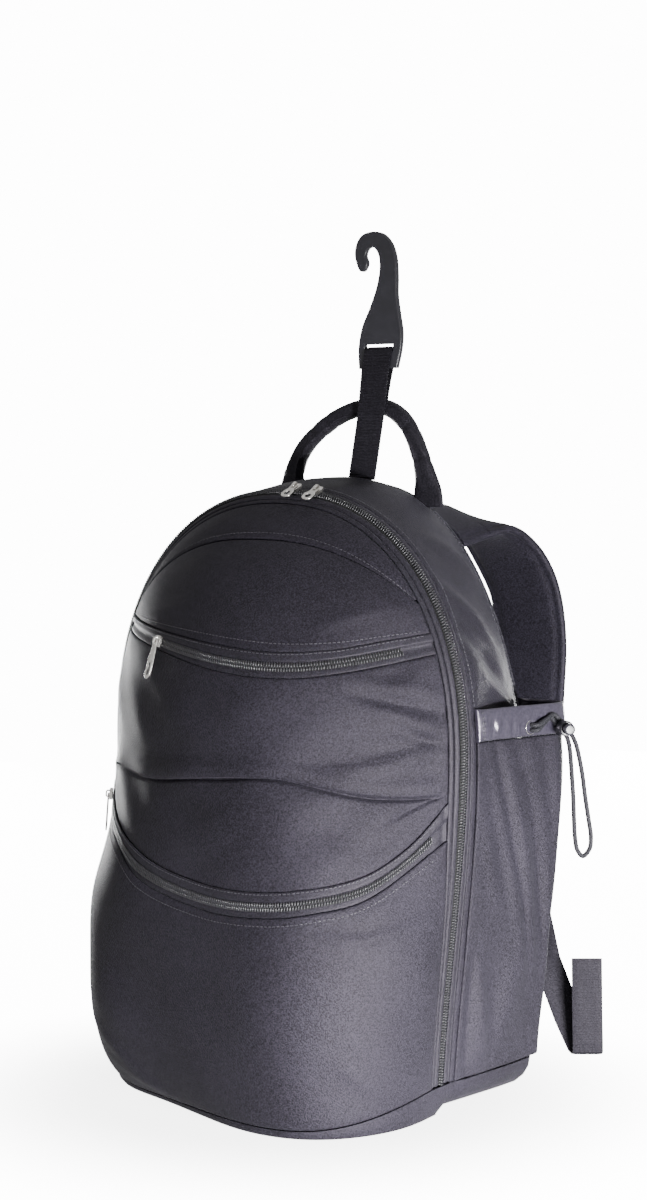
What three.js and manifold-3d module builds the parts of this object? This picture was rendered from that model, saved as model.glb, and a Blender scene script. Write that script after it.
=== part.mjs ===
// A backpack for a baseball player, standing on the floor with its main zip closed.
// Millimetres, +Z up, X to the wearer's right, -Y out of the bag's front. The floor is at Z = 0.
import * as THREE from "three";
import { mergeVertices } from "three/addons/utils/BufferGeometryUtils.js";
import Module from "manifold-3d";

// Clearances
const seamGap = 0.3;
const seatGap = 0.3;

// Body
const zipTop = 468;
const bodyHalfWidth = 162;
const baseHalfWidth = 140;
const widestHeight = 270;
const archPower = 2.2;
const zipPlane = -6;
const frontBulge = 100;
const fabric = 1.6;
const leanRight = 0.26;
const leanFades = { from: 250, over: 200 };
const tuckRight = { depth: 3, reach: 30 };
const tuckLeft = { depth: 28, reach: 85 };
const tuckTurn = { from: 60, over: 180 };

// Back and gusset
const gussetDepth = 118;
const backSeam = zipPlane + gussetDepth;
const backTop = 474;
const backHalfWidth = 155;
const backWidest = 150;
const gussetSwell = 5;
const backEdge = 3;
const backPadding = 11;
const spineChannel = 46;

// Base
const frontHem = 6;
const zipEnd = 22;
const rearHem = 26;
const floorTuck = { side: 24, back: 12 };
const zipStop = 0.998;
const baseFabric = 2;

// Zips
const coilWidth = 7;
const coilRise = 1.5;
const tapeThickness = 1;
const frontTape = 9.5;
const rearTape = 7.5;
const tapeSunk = 0.5;
const pocketCoil = 6.4;

// Side pockets
const pocketTop = 306;
const hemHeight = 25;
const hemThickness = 3.2;
const hemFace = 1.2;
const pocketFabric = 1.4;
const pocketReach = 38;
const pocketFold = 2.6;
const eyeletOuter = 6.2;
const eyeletInner = 4;
const eyeletRise = 1.2;
const eyeletSeat = 0.5;

// Draw cord and its lock
const cordDiameter = 3.4;
const lockDiameter = 12;
const lockLength = 15;
const lockBoreDepth = 6;
const lockTurn = 38;
const lockRoll = 50;
const buttonDiameter = 9;
const buttonHead = 3.6;
const buttonTravel = 3;
const stemDiameter = 5;
const stemRoom = 0.35;
const lockFoot = 1.6;
const cordRoom = { wide: 1, high: 1.6 };

// Carrying straps
const webbing = 25;
const webbingThickness = 1.8;
const strapWidth = 65;
const strapThickness = 11;
const handleSpan = 132;
const handleRise = 82;
const handleRoll = 13;
const handleFoot = 28;
const handleFlat = 4;
const handleSeat = 0.8;

// Fence hook
const hookWidth = 45;
const hookHeight = 109;
const hookThickness = 5;
const hookStrapRise = 103;
const hookStrapTurn = 30;
const hookLean = 0.17;
const hookBar = 14;
const wrapGap = 0.4;
const wrapDrop = 1.2;
const hookFoot = 8;
const hookSeat = 0.7;
const hookStrapClose = 8;
const hookSlotRoom = 3.2;
const hookSlotSide = 0.6;

// Ladder locks, their bars counted up from the lower edge
const ladder = {
  width: 34,
  height: 28,
  thickness: 4,
  side: 3.6,
  lowBar: 4,
  lowSlot: 6,
  midBar: 4,
  topSlot: 8,
};

// Sliders and pulls
const sliderWidth = 8.5;
const sliderLength = 9;
const sliderThickness = 2.6;
const sliderSeat = 8;
const pullThickness = 1.2;
const pinRoom = 0.3;
const bridgeWidth = 2.2;
const bridgeBar = 1.2;
const bridgeReach = 1.8;
const longPull = { length: 30, width: 8, hole: 0.45 };
const shortPull = { length: 17, width: 9, hole: 0.5 };

// Rows up the front, from the floor to the widest height. bulge is a share of frontBulge, the swells
// are shares of baseHalfWidth, power and fullness shape the level section.
const frontRows = [
  { height: 0.0, bulge: 1.12, power: 4.8, fullness: 0.4, swellLeft: 0.014, swellRight: 0.028 },
  { height: 0.15, bulge: 1.15, power: 4.6, fullness: 0.42, swellLeft: 0.03, swellRight: 0.036 },
  { height: 0.33, bulge: 1.16, power: 4.2, fullness: 0.46, swellLeft: 0.04, swellRight: 0.036 },
  { height: 0.56, bulge: 1.13, power: 3.6, fullness: 0.58, swellLeft: 0.04, swellRight: 0.021 },
  { height: 0.78, bulge: 1.07, power: 2.8, fullness: 0.84, swellLeft: 0.0, swellRight: 0.0 },
  { height: 1.0, bulge: 1.0, power: 2.3, fullness: 1.0, swellLeft: 0.0, swellRight: 0.0 },
];

// Seams across the front. across runs from the left zip tape to the right one, height is a share of zipTop.
const lowerTapeSeam = [
  { across: -1, height: 0.474 },
  { across: -0.68, height: 0.417 },
  { across: -0.45, height: 0.37 },
  { across: 0, height: 0.341 },
  { across: 0.4, height: 0.341 },
  { across: 0.65, height: 0.353 },
  { across: 0.82, height: 0.374 },
  { across: 1, height: 0.449 },
];
const flapSeam = [
  { across: -1, height: 0.513 },
  { across: -0.75, height: 0.455 },
  { across: -0.4, height: 0.406 },
  { across: -0.05, height: 0.383 },
  { across: 0.25, height: 0.378 },
  { across: 0.55, height: 0.385 },
  { across: 0.78, height: 0.404 },
  { across: 0.9, height: 0.444 },
  { across: 1, height: 0.509 },
];
const sagCrease = [
  { across: -1, height: 0.545 },
  { across: -0.49, height: 0.534 },
  { across: 0, height: 0.549 },
  { across: 0.4, height: 0.555 },
  { across: 0.77, height: 0.526 },
  { across: 1, height: 0.522 },
];
const upperTapeSeam = [
  { across: -1, height: 0.763 },
  { across: -0.43, height: 0.739 },
  { across: 0, height: 0.717 },
  { across: 0.41, height: 0.709 },
  { across: 0.69, height: 0.72 },
  { across: 1, height: 0.744 },
];
const upperFlapSeam = [
  { across: -1, height: 0.787 },
  { across: -0.3, height: 0.765 },
  { across: 0.29, height: 0.748 },
  { across: 0.6, height: 0.752 },
  { across: 0.85, height: 0.767 },
  { across: 1, height: 0.776 },
];
const creaseDepth = 5;
const creaseWidth = 13;
const archDrop = 0.145;
const archEnd = 385;
const coilPlace = 0.42;
const upperZip = { from: -0.48, to: 0.88 };
const lowerZip = { from: -0.97, to: 0.96 };
const mainSliders = { left: 0.022, right: 0.058 };

// Level section of a side pocket. depth is a share of the gusset, reach is a share of pocketReach.
const pocketPlan = [
  { depth: 0.13, reach: 0.02 },
  { depth: 0.3, reach: 0.14 },
  { depth: 0.5, reach: 0.37 },
  { depth: 0.7, reach: 0.7 },
  { depth: 0.86, reach: 0.97 },
  { depth: 0.96, reach: 1.0 },
  { depth: 0.995, reach: 0.76 },
  { depth: 0.995, reach: 0.36 },
  { depth: 0.985, reach: 0.03 },
];
const pocketCorner = 5;

// How far a side pocket stands out at each height, as shares of pocketTop and pocketReach
const pocketRows = [
  { height: 0.08, reach: 0.12 },
  { height: 0.2, reach: 0.2 },
  { height: 0.35, reach: 0.33 },
  { height: 0.59, reach: 0.5 },
  { height: 0.78, reach: 0.74 },
  { height: 1.0, reach: 1.0 },
];

// The haul handle from its left foot to its right one: shares of half its span and of its rise
const handleRows = [
  { across: -0.97, up: 0.0 },
  { across: -0.985, up: 0.14 },
  { across: -0.97, up: 0.3 },
  { across: -0.89, up: 0.48 },
  { across: -0.76, up: 0.63 },
  { across: -0.56, up: 0.77 },
  { across: -0.32, up: 0.89 },
  { across: -0.05, up: 0.97 },
  { across: 0.2, up: 1.0 },
  { across: 0.42, up: 0.97 },
  { across: 0.6, up: 0.88 },
  { across: 0.74, up: 0.74 },
  { across: 0.85, up: 0.55 },
  { across: 0.93, up: 0.34 },
  { across: 0.97, up: 0.16 },
  { across: 0.97, up: 0.0 },
];

// Right shoulder strap, from its sewn root to its lower end. across and down place the middle from the
// root as shares of strapDrop, back is a share of strapStand. turn is the tilt of its width in degrees.
const strapDrop = 272;
const strapStand = 98;
const strapRoot = { x: 66, z: 440 };
const strapRows = [
  { across: 0.0, back: 0.2, down: 0.0, width: 0.86, turn: -36 },
  { across: 0.01, back: 0.42, down: -0.01, width: 0.92, turn: -24 },
  { across: 0.03, back: 0.68, down: 0.015, width: 0.98, turn: -8 },
  { across: 0.06, back: 0.9, down: 0.09, width: 1.0, turn: 0 },
  { across: 0.1, back: 1.02, down: 0.2, width: 1.0, turn: 0 },
  { across: 0.115, back: 1.07, down: 0.35, width: 1.0, turn: 0 },
  { across: 0.115, back: 1.05, down: 0.52, width: 0.98, turn: 0 },
  { across: 0.12, back: 0.99, down: 0.7, width: 0.94, turn: 2 },
  { across: 0.135, back: 0.93, down: 0.86, width: 0.84, turn: 4 },
  { across: 0.15, back: 0.9, down: 0.96, width: 0.62, turn: 5 },
  { across: 0.155, back: 0.89, down: 1.0, width: 0.46, turn: 0 },
];

// The draw cord's route, out of the eyelet, through the lock, round its hanging loop and back.
const cordRoute = [
  [178.4, 64.4, 290.5],
  [181.0, 63.4, 290.5],
  [183.9, 65.1, 290.5],
  [186.3, 74.9, 294.0],
  [188.0, 85.2, 297.1],
  [190.0, 87.7, 294.4],
  [193.5, 91.5, 288.3],
  [197.1, 95.2, 282.2],
  [200.4, 96.9, 274.9],
  [202.6, 98.4, 264.9],
  [204.9, 99.9, 250.3],
  [206.8, 101.1, 233.4],
  [209.1, 102.6, 215.8],
  [210.7, 103.6, 202.0],
  [209.7, 103.0, 192.8],
  [205.5, 100.3, 187.4],
  [202.0, 98.0, 192.0],
  [200.4, 96.9, 202.0],
  [199.7, 96.5, 215.8],
  [199.1, 96.1, 233.4],
  [198.1, 95.5, 250.3],
  [197.2, 94.9, 264.1],
  [196.5, 94.4, 271.8],
  [194.9, 93.0, 279.6],
  [191.4, 89.3, 285.7],
  [187.9, 85.5, 291.8],
  [185.9, 83.0, 294.5],
  [185.2, 73.7, 290.7],
  [183.9, 65.1, 286.5],
  [181.0, 63.4, 286.5],
  [178.4, 64.4, 286.5],
];
const eyeletDepth = 0.6;
const eyeletDrop = 17.5;
const lockDepth = 0.865;
const lockDrop = 19;

// The right webbing from the bag's lower corner to the ladder lock, then its loose tail down to the floor,
// where it folds and stands up again. Millimetres from the corner's seam.
const webbingUp = [
  { x: 0, y: 0.6, z: 0 },
  { x: -3, y: 14, z: 14 },
  { x: -12, y: 48, z: 58 },
];
const webbingDown = [
  { x: -31, y: 101, z: 76, turn: 12 },
  { x: -27, y: 108, z: 42, turn: 22 },
  { x: -15, y: 110.5, z: 12, turn: 30 },
  { x: -5, y: 111.5, z: -12, turn: 33 },
  { x: 2, y: 112.5, z: -26, turn: 33 },
  { x: 7, y: 112, z: -34.4, turn: 33 },
  { x: 11.5, y: 110, z: -36.6, turn: 33 },
  { x: 14, y: 107.3, z: -34.4, turn: 33 },
  { x: 14.5, y: 106.1, z: -26, turn: 33 },
  { x: 14, y: 105.9, z: -4, turn: 33 },
  { x: 13, y: 106.1, z: 44, turn: 33 },
];
const webbingCorner = { x: 137, z: 38 };
const ladderTail = 6;

// Colours and surfaces
const black = (color, roughness) => new THREE.MeshStandardMaterial({ color, roughness, metalness: 0 });
const materials = {
  twill: black(0x24222a, 0.85),
  satin: black(0x1d1c22, 0.45),
  tape: black(0x2c2b31, 0.9),
  coil: black(0x333238, 0.55),
  mesh: black(0x6c6b70, 0.95),
  strap: black(0x17171a, 0.8),
  plastic: black(0x151518, 0.4),
  cord: black(0x19191c, 0.8),
  nickel: new THREE.MeshStandardMaterial({ color: 0xb9b6b2, roughness: 0.3, metalness: 0.9 }),
};

const vec = (x, y, z) => new THREE.Vector3(x, y, z);
const lerp = THREE.MathUtils.lerp;
const clamp = THREE.MathUtils.clamp;
const smooth = (t) => THREE.MathUtils.smoothstep(t, 0, 1);
const steps = (count) => Array.from({ length: count + 1 }, (_, i) => i / count);
const middleOfBody = vec(0, (zipPlane + backSeam) / 2, zipTop / 2);

const bag = new THREE.Group();
bag.name = "baseball_bat_backpack";

function add(name, geometry, material) {
  const mesh = new THREE.Mesh(geometry, material);
  mesh.name = name;
  bag.add(mesh);
  return mesh;
}

// A smooth curve through a table's rows, read at one key
function lookUp(rows, key, column, at) {
  const last = rows.length - 1;
  const t = clamp(at, rows[0][key], rows[last][key]);
  let i = 0;
  while (i < last - 1 && t > rows[i + 1][key]) i += 1;
  const span = rows[i + 1][key] - rows[i][key];
  const slope = (j) => {
    const a = rows[Math.max(j - 1, 0)];
    const b = rows[Math.min(j + 1, last)];
    return (b[column] - a[column]) / (b[key] - a[key]);
  };
  const s = (t - rows[i][key]) / span;
  const h = s * s * (3 - 2 * s);
  const tangents = s * (1 - s) * span * ((1 - s) * slope(i) - s * slope(i + 1));
  return lerp(rows[i][column], rows[i + 1][column], h) + tangents;
}

// Closed surface from points and triangles, turned to face out
function closedGeometry(points, triangles) {
  let volume = 0;
  for (const [a, b, c] of triangles) {
    volume += points[a].dot(points[b].clone().cross(points[c]));
  }
  const facing = volume < 0 ? triangles.map(([a, b, c]) => [a, c, b]) : triangles;
  const geometry = new THREE.BufferGeometry();
  geometry.setAttribute("position", new THREE.Float32BufferAttribute(points.flatMap((p) => p.toArray()), 3));
  geometry.setIndex(facing.flat());
  geometry.computeVertexNormals();
  return geometry;
}

// Outward normal of a surface given as a function of two shares
function normalAt(pointAt, u, v) {
  const e = 0.002;
  const alongU = pointAt(Math.min(u + e, 1), v).sub(pointAt(Math.max(u - e, 0), v));
  const alongV = pointAt(u, Math.min(v + e, 1)).sub(pointAt(u, Math.max(v - e, 0)));
  return alongU.cross(alongV).normalize();
}

// A sheet of cloth with a thickness, its outer face on the surface or sunk below it
function sheet(pointAt, us, vs, thickness, sunk = 0) {
  const centre = pointAt(0.5, 0.5);
  const side = Math.sign(normalAt(pointAt, 0.5, 0.5).dot(centre.sub(middleOfBody)));
  const outer = [];
  const inner = [];
  for (const v of vs) {
    for (const u of us) {
      const p = pointAt(u, v);
      const n = normalAt(pointAt, u, v).multiplyScalar(side);
      outer.push(p.clone().addScaledVector(n, -sunk));
      inner.push(p.clone().addScaledVector(n, -sunk - thickness));
    }
  }
  const count = outer.length;
  const across = us.length;
  const rows = vs.length;
  const at = (i, j) => j * across + i;
  const triangles = [];
  const quad = (a, b, c, d) => triangles.push([a, b, c], [a, c, d]);
  for (let j = 0; j + 1 < rows; j += 1) {
    for (let i = 0; i + 1 < across; i += 1) {
      quad(at(i, j), at(i + 1, j), at(i + 1, j + 1), at(i, j + 1));
      quad(count + at(i, j), count + at(i, j + 1), count + at(i + 1, j + 1), count + at(i + 1, j));
    }
  }
  const rim = [];
  for (let i = 0; i + 1 < across; i += 1) rim.push(at(i, 0));
  for (let j = 0; j + 1 < rows; j += 1) rim.push(at(across - 1, j));
  for (let i = across - 1; i > 0; i -= 1) rim.push(at(i, rows - 1));
  for (let j = rows - 1; j > 0; j -= 1) rim.push(at(0, j));
  rim.forEach((a, k) => {
    const b = rim[(k + 1) % rim.length];
    quad(a, count + a, count + b, b);
  });
  return closedGeometry([...outer, ...inner], triangles);
}

// A solid through rings of points, closed at both ends
function ringSolid(rings) {
  const around = rings[0].length;
  const points = rings.flat();
  const triangles = [];
  for (let j = 0; j + 1 < rings.length; j += 1) {
    for (let i = 0; i < around; i += 1) {
      const a = j * around + i;
      const b = j * around + ((i + 1) % around);
      triangles.push([a, b, b + around], [a, b + around, a + around]);
    }
  }
  const cap = (start, flip) => {
    const middle = points.length;
    const total = vec(0, 0, 0);
    for (let i = 0; i < around; i += 1) total.add(points[start + i]);
    points.push(total.divideScalar(around));
    for (let i = 0; i < around; i += 1) {
      const a = start + i;
      const b = start + ((i + 1) % around);
      triangles.push(flip ? [middle, b, a] : [middle, a, b]);
    }
  };
  cap(0, true);
  cap((rings.length - 1) * around, false);
  return closedGeometry(points, triangles);
}

const flatSection = [
  [-1, -1],
  [1, -1],
  [1, 1],
  [-1, 1],
];
const paddedSection = [
  [-1, 0],
  [-0.86, -0.8],
  [0, -1],
  [0.86, -0.8],
  [1, 0],
  [0.86, 0.8],
  [0, 1],
  [-0.86, 0.8],
];

// A band swept through stations, each with its middle, its width's direction and its size
function bandSolid(stations, section) {
  const rings = stations.map((s, i) => {
    const before = stations[Math.max(i - 1, 0)].at;
    const after = stations[Math.min(i + 1, stations.length - 1)].at;
    const along = s.along ? s.along.clone().normalize() : after.clone().sub(before).normalize();
    const square = s.level ? 0 : s.wide.dot(along);
    const wide = s.wide.clone().addScaledVector(along, -square).normalize();
    const thick = along.clone().cross(wide).normalize();
    return section.map(([a, b]) =>
      s.at
        .clone()
        .addScaledVector(wide, (a * s.width) / 2)
        .addScaledVector(thick, (b * s.thickness) / 2)
    );
  });
  return ringSolid(rings);
}

// Half width of the zip's outline at a height, and the share of the way from the middle to that outline
function zipHalf(z) {
  if (z > widestHeight) {
    const up = clamp((z - widestHeight) / (zipTop - widestHeight), 0, 1);
    return bodyHalfWidth * (1 - up ** archPower) ** (1 / archPower);
  }
  const t = clamp(z / widestHeight, 0, 1);
  return lerp(baseHalfWidth, bodyHalfWidth, 0.25 * t + 0.75 * smooth(t));
}

function shareOut(x, z) {
  if (z <= widestHeight) return Math.abs(x) / zipHalf(z);
  const up = (z - widestHeight) / (zipTop - widestHeight);
  return ((Math.abs(x) / bodyHalfWidth) ** archPower + up ** archPower) ** (1 / archPower);
}

// How far the bottom edge is rolled in above the floor
function tuck(x, z) {
  const left = smooth((tuckTurn.from - x) / tuckTurn.over);
  const depth = tuckRight.depth + tuckLeft.depth * left;
  const reach = lerp(tuckRight.reach, tuckLeft.reach, left);
  const t = clamp(1 - z / reach, 0, 1);
  return depth * (1 - Math.sqrt(1 - t * t));
}

function creaseHeight(across) {
  return zipTop * lookUp(sagCrease, "across", "height", across);
}

// The front of the bag over a flat place (x, z) inside the zip's outline
function frontPoint(x, z) {
  const half = Math.max(zipHalf(z), 1);
  const p = clamp(x / half, -1, 1);
  const row = z / widestHeight;
  const read = (column) => lookUp(frontRows, "height", column, row);
  const inside = Math.max(1 - Math.min(shareOut(x, z), 1) ** read("power"), 0);
  const depth = inside ** read("fullness");
  const swell = baseHalfWidth * (x < 0 ? -read("swellLeft") : read("swellRight"));
  const over = swell * Math.sin(Math.PI * depth) * Math.sqrt(Math.abs(p));
  const rolled = tuck(x, z);
  const narrow = 1 - rolled / baseHalfWidth;
  const lean = 1 + leanRight * p * (1 - p * p) * (1 - smooth((z - leanFades.from) / leanFades.over));
  const reach = frontBulge * read("bulge") * depth * lean * (1 - rolled / frontBulge);
  const offCrease = Math.abs(z - creaseHeight(p)) / creaseWidth;
  const sunk = creaseDepth * Math.exp(-offCrease * 1.4) * smooth(depth * 2) * (0.6 + 0.4 * p);
  return vec((x + over) * narrow, zipPlane - reach + sunk, z);
}

// The zip's outline, measured along its length: 0 at the top, -1 and 1 at its two lower ends
function alongTable(pointAt, count) {
  const list = [{ s: 0, t: 0 }];
  let before = pointAt(0);
  for (let i = 1; i <= count; i += 1) {
    const t = i / count;
    const point = pointAt(t);
    list.push({ s: list[i - 1].s + Math.hypot(point[0] - before[0], point[1] - before[1]), t });
    before = point;
  }
  return list;
}

function byLength(pointAt) {
  const table = alongTable(pointAt, 240);
  const total = table[table.length - 1].s;
  return (t) => {
    const want = Math.min(Math.abs(t), 1) * total;
    let i = 1;
    while (i < table.length - 1 && table[i].s < want) i += 1;
    const a = table[i - 1];
    const b = table[i];
    const share = lerp(a.t, b.t, (want - a.s) / (b.s - a.s));
    const [x, z] = pointAt(share);
    return [t < 0 ? -x : x, z];
  };
}

// Half an arch over straight sides, as a function of a share from its top to its foot
function halfArch(halfWidthAt, halfWidth, widest, top, foot) {
  const turn = 0.6;
  return (t) => {
    if (t >= turn) {
      const z = lerp(widest, foot, (t - turn) / (1 - turn));
      return [halfWidthAt(z), z];
    }
    const angle = (Math.PI / 2) * (1 - t / turn);
    const c = Math.cos(angle);
    const s = Math.sin(angle);
    const r = (c ** archPower + s ** archPower) ** (-1 / archPower);
    return [halfWidth * r * c, widest + (top - widest) * r * s];
  };
}

const backHalf = (z) => {
  const up = clamp((z - backWidest) / (backTop - backWidest), 0, 1);
  return backHalfWidth * (1 - up ** archPower) ** (1 / archPower);
};
const zipOutline = byLength(halfArch(zipHalf, bodyHalfWidth, widestHeight, zipTop, zipEnd));
const backOutline = byLength(halfArch(backHalf, backHalfWidth, backWidest, backTop, rearHem));

const zipPoint = (t) => frontPoint(...zipOutline(t));

// A flat place on the front, a set distance along the cloth inward from the zip's line
function inFromZip(t, distance) {
  const [x, z] = zipOutline(t);
  const spine = z > widestHeight ? widestHeight : z;
  const edge = zipPoint(t);
  let near = 0.4;
  let far = 1;
  for (let i = 0; i < 40; i += 1) {
    const share = (near + far) / 2;
    const gone = frontPoint(x * share, lerp(spine, z, share)).distanceTo(edge);
    if (gone > distance) near = share;
    else far = share;
  }
  return [x * far, lerp(spine, z, far)];
}

// The cloth's edge beside the front tape, as a half width at each height on each side
const panelEdge = coilWidth / 2 + frontTape + 2 * seamGap;
const edgeRows = [-1, 1].map((side) =>
  steps(120)
    .map((t) => {
      const [x, z] = inFromZip(side * lerp(1, 0.02, t), panelEdge);
      return { z, half: Math.abs(x) };
    })
    .sort((a, b) => a.z - b.z)
);

function edgeHalf(across, z) {
  const rows = edgeRows[across < 0 ? 0 : 1];
  const at = clamp(z, rows[0].z, rows[rows.length - 1].z);
  let i = 1;
  while (i < rows.length - 1 && rows[i].z < at) i += 1;
  const share = (at - rows[i - 1].z) / Math.max(rows[i].z - rows[i - 1].z, 1e-6);
  return lerp(rows[i - 1].half, rows[i].half, share);
}

const onFront = (across, z) => frontPoint(across * edgeHalf(across, z), z);
const seam = (rows, offset = 0) => (across) => zipTop * lookUp(rows, "across", "height", across) + offset;
const bottomEdge = (across) => lerp(frontHem, zipEnd, Math.abs(across) ** 8) + seamGap;

// Steps across the front, closer together where the cloth turns at the sides
const acrossSteps = (count) =>
  steps(count).map((u) => 0.5 + 0.5 * lerp(2 * u - 1, Math.sin((Math.PI / 2) * (2 * u - 1)), 0.75));

const frontSteps = acrossSteps(22);

function band(lower, upper) {
  return (u, v) => {
    const across = 2 * u - 1;
    return onFront(across, lerp(lower(across), upper(across), v));
  };
}

// The arched seam under the top panel, and the tape's edge above it
const archSpan = (() => {
  let low = 0;
  let high = 1;
  for (let i = 0; i < 40; i += 1) {
    const t = (low + high) / 2;
    if (inFromZip(t, panelEdge)[1] > archEnd) low = t;
    else high = t;
  }
  return low;
})();

function archPlace(t, drop) {
  const [x, z] = inFromZip(t * archSpan, panelEdge);
  const share = 1 - drop * (1 - t * t);
  return [x * share, lerp(widestHeight, z, share)];
}

function makeFront() {
  const lower = band(bottomEdge, seam(lowerTapeSeam, -seamGap));
  add("lower_panel", sheet(lower, frontSteps, steps(8), fabric), materials.twill);

  const low = seam(flapSeam, seamGap);
  const high = seam(upperTapeSeam, -seamGap);
  const middle = (u, v) => {
    const across = 2 * u - 1;
    const crease = creaseHeight(across);
    const z = v < 0.5 ? lerp(low(across), crease, 2 * v) : lerp(crease, high(across), 2 * v - 1);
    return onFront(across, z);
  };
  const middleSteps = [0, 0.2, 0.38, 0.5, 0.58, 0.72, 0.86, 1];
  add("middle_panel", sheet(middle, frontSteps, middleSteps, fabric), materials.twill);

  const upperFoot = seam(upperFlapSeam, seamGap);
  const upper = (u, v) => {
    const across = 2 * u - 1;
    const [headX, headZ] = archPlace(across, archDrop);
    const headShare = headX / edgeHalf(across, headZ);
    return onFront(lerp(across, headShare, v), lerp(upperFoot(across), headZ, v));
  };
  add("upper_panel", sheet(upper, frontSteps, steps(4), fabric), materials.twill);

  const crescent = 0.97;
  const headDrop = 0.002;
  const archLap = 0.004;
  const top = (u, v) => {
    const t = crescent * (2 * u - 1);
    const foot = archPlace(t, archDrop - archLap);
    const head = archPlace(t, headDrop);
    return frontPoint(lerp(foot[0], head[0], v), lerp(foot[1], head[1], v));
  };
  add("top_panel", sheet(top, frontSteps, steps(2), fabric), materials.twill);
}

// A zip coil lying on its tape, its steps between its ends the tape's own
function coilOnTape(lower, upper, reach) {
  const middle = (across) => lerp(lower(across), upper(across), coilPlace);
  const surface = (u, v) => {
    const across = 2 * u - 1;
    return onFront(across, middle(across) + (v - 0.5) * pocketCoil);
  };
  const [start, end] = [0.5 + reach.from / 2, 0.5 + reach.to / 2];
  const run = [start, ...frontSteps.filter((u) => u > start && u < end), end];
  return sheet(surface, run, [0, 0.5, 1], coilRise, tapeSunk - 1.5 * seatGap - coilRise);
}

function makeFrontZips() {
  const zips = [
    ["lower_zip", lowerTapeSeam, flapSeam, lowerZip],
    ["upper_zip", upperTapeSeam, upperFlapSeam, upperZip],
  ];
  for (const [name, below, above, reach] of zips) {
    const surface = band(seam(below), seam(above));
    const split = [0, coilPlace, 1];
    add(name + "_tape", sheet(surface, frontSteps, split, tapeThickness, tapeSunk), materials.tape);
    add(name + "_coil", coilOnTape(seam(below), seam(above), reach), materials.coil);
  }
}

// The gusset's outer face, at a share of the way round the zip and a depth behind it
function gussetPoint(t, y) {
  const share = (y - zipPlane) / gussetDepth;
  const front = zipPoint(t);
  const [x, z] = backOutline(t);
  const e = 0.004;
  const a = zipOutline(Math.max(t - e, -1));
  const b = zipOutline(Math.min(t + e, 1));
  const out = vec(a[1] - b[1], 0, b[0] - a[0]).normalize();
  const swell = gussetSwell * Math.sin(Math.PI * clamp(share, 0, 1)) * (0.3 + 0.7 * smooth(front.z / 120));
  return vec(lerp(front.x, x, share), y, lerp(front.z, z, share)).addScaledVector(out, swell);
}

function makeMainZip() {
  const around = (u) => zipStop * (2 * u - 1);
  const tape = (u, v) => {
    const place = inFromZip(around(u), coilWidth / 2 + seamGap + v * frontTape);
    return frontPoint(...place);
  };
  add("main_zip_tape_front", sheet(tape, steps(44), [0, 1], fabric), materials.tape);
  const rear = (u, v) => gussetPoint(around(u), zipPlane + coilWidth / 2 + seamGap + v * rearTape);
  add("main_zip_tape_rear", sheet(rear, steps(44), [0, 1], fabric), materials.tape);

  const rings = steps(44).map((u) => {
    const t = around(u);
    const edge = zipPoint(t);
    const inward = frontPoint(...inFromZip(t, coilWidth / 2)).sub(edge);
    const backward = gussetPoint(t, zipPlane + coilWidth / 2).sub(edge);
    const e = 0.004;
    const along = zipPoint(Math.min(t + e, 1)).sub(zipPoint(Math.max(t - e, -1))).normalize();
    const outFront = inward.clone().cross(along).normalize();
    const outRear = along.clone().cross(backward).normalize();
    const away = edge.clone().sub(middleOfBody);
    if (outFront.dot(away) < 0) outFront.negate();
    if (outRear.dot(away) < 0) outRear.negate();
    const out = outFront.clone().add(outRear).normalize();
    return [
      edge.clone().add(inward).addScaledVector(outFront, -fabric),
      edge.clone().add(inward).addScaledVector(outFront, coilRise * 0.3),
      edge.clone().addScaledVector(out, coilRise),
      edge.clone().add(backward).addScaledVector(outRear, coilRise * 0.3),
      edge.clone().add(backward).addScaledVector(outRear, -fabric),
      edge.clone().addScaledVector(out, -fabric),
    ];
  });
  add("main_zip_coil", ringSolid(rings), materials.coil);
}

const backTip = 0.985;

// Thickness of the padded back at a place on it
function backPuff(x, z) {
  const side = 1 - Math.min(Math.abs(x) / Math.max(backHalf(z), 1), 1) ** 4;
  const up = (z - rearHem) / (backTop - rearHem);
  const ends = Math.min(1, 6 * up) * Math.min(1, 5 * (1 - up));
  const channel = smooth((2 * Math.abs(x)) / spineChannel);
  return backEdge + backPadding * side * smooth(ends) * lerp(0.45, 1, channel);
}

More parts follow.
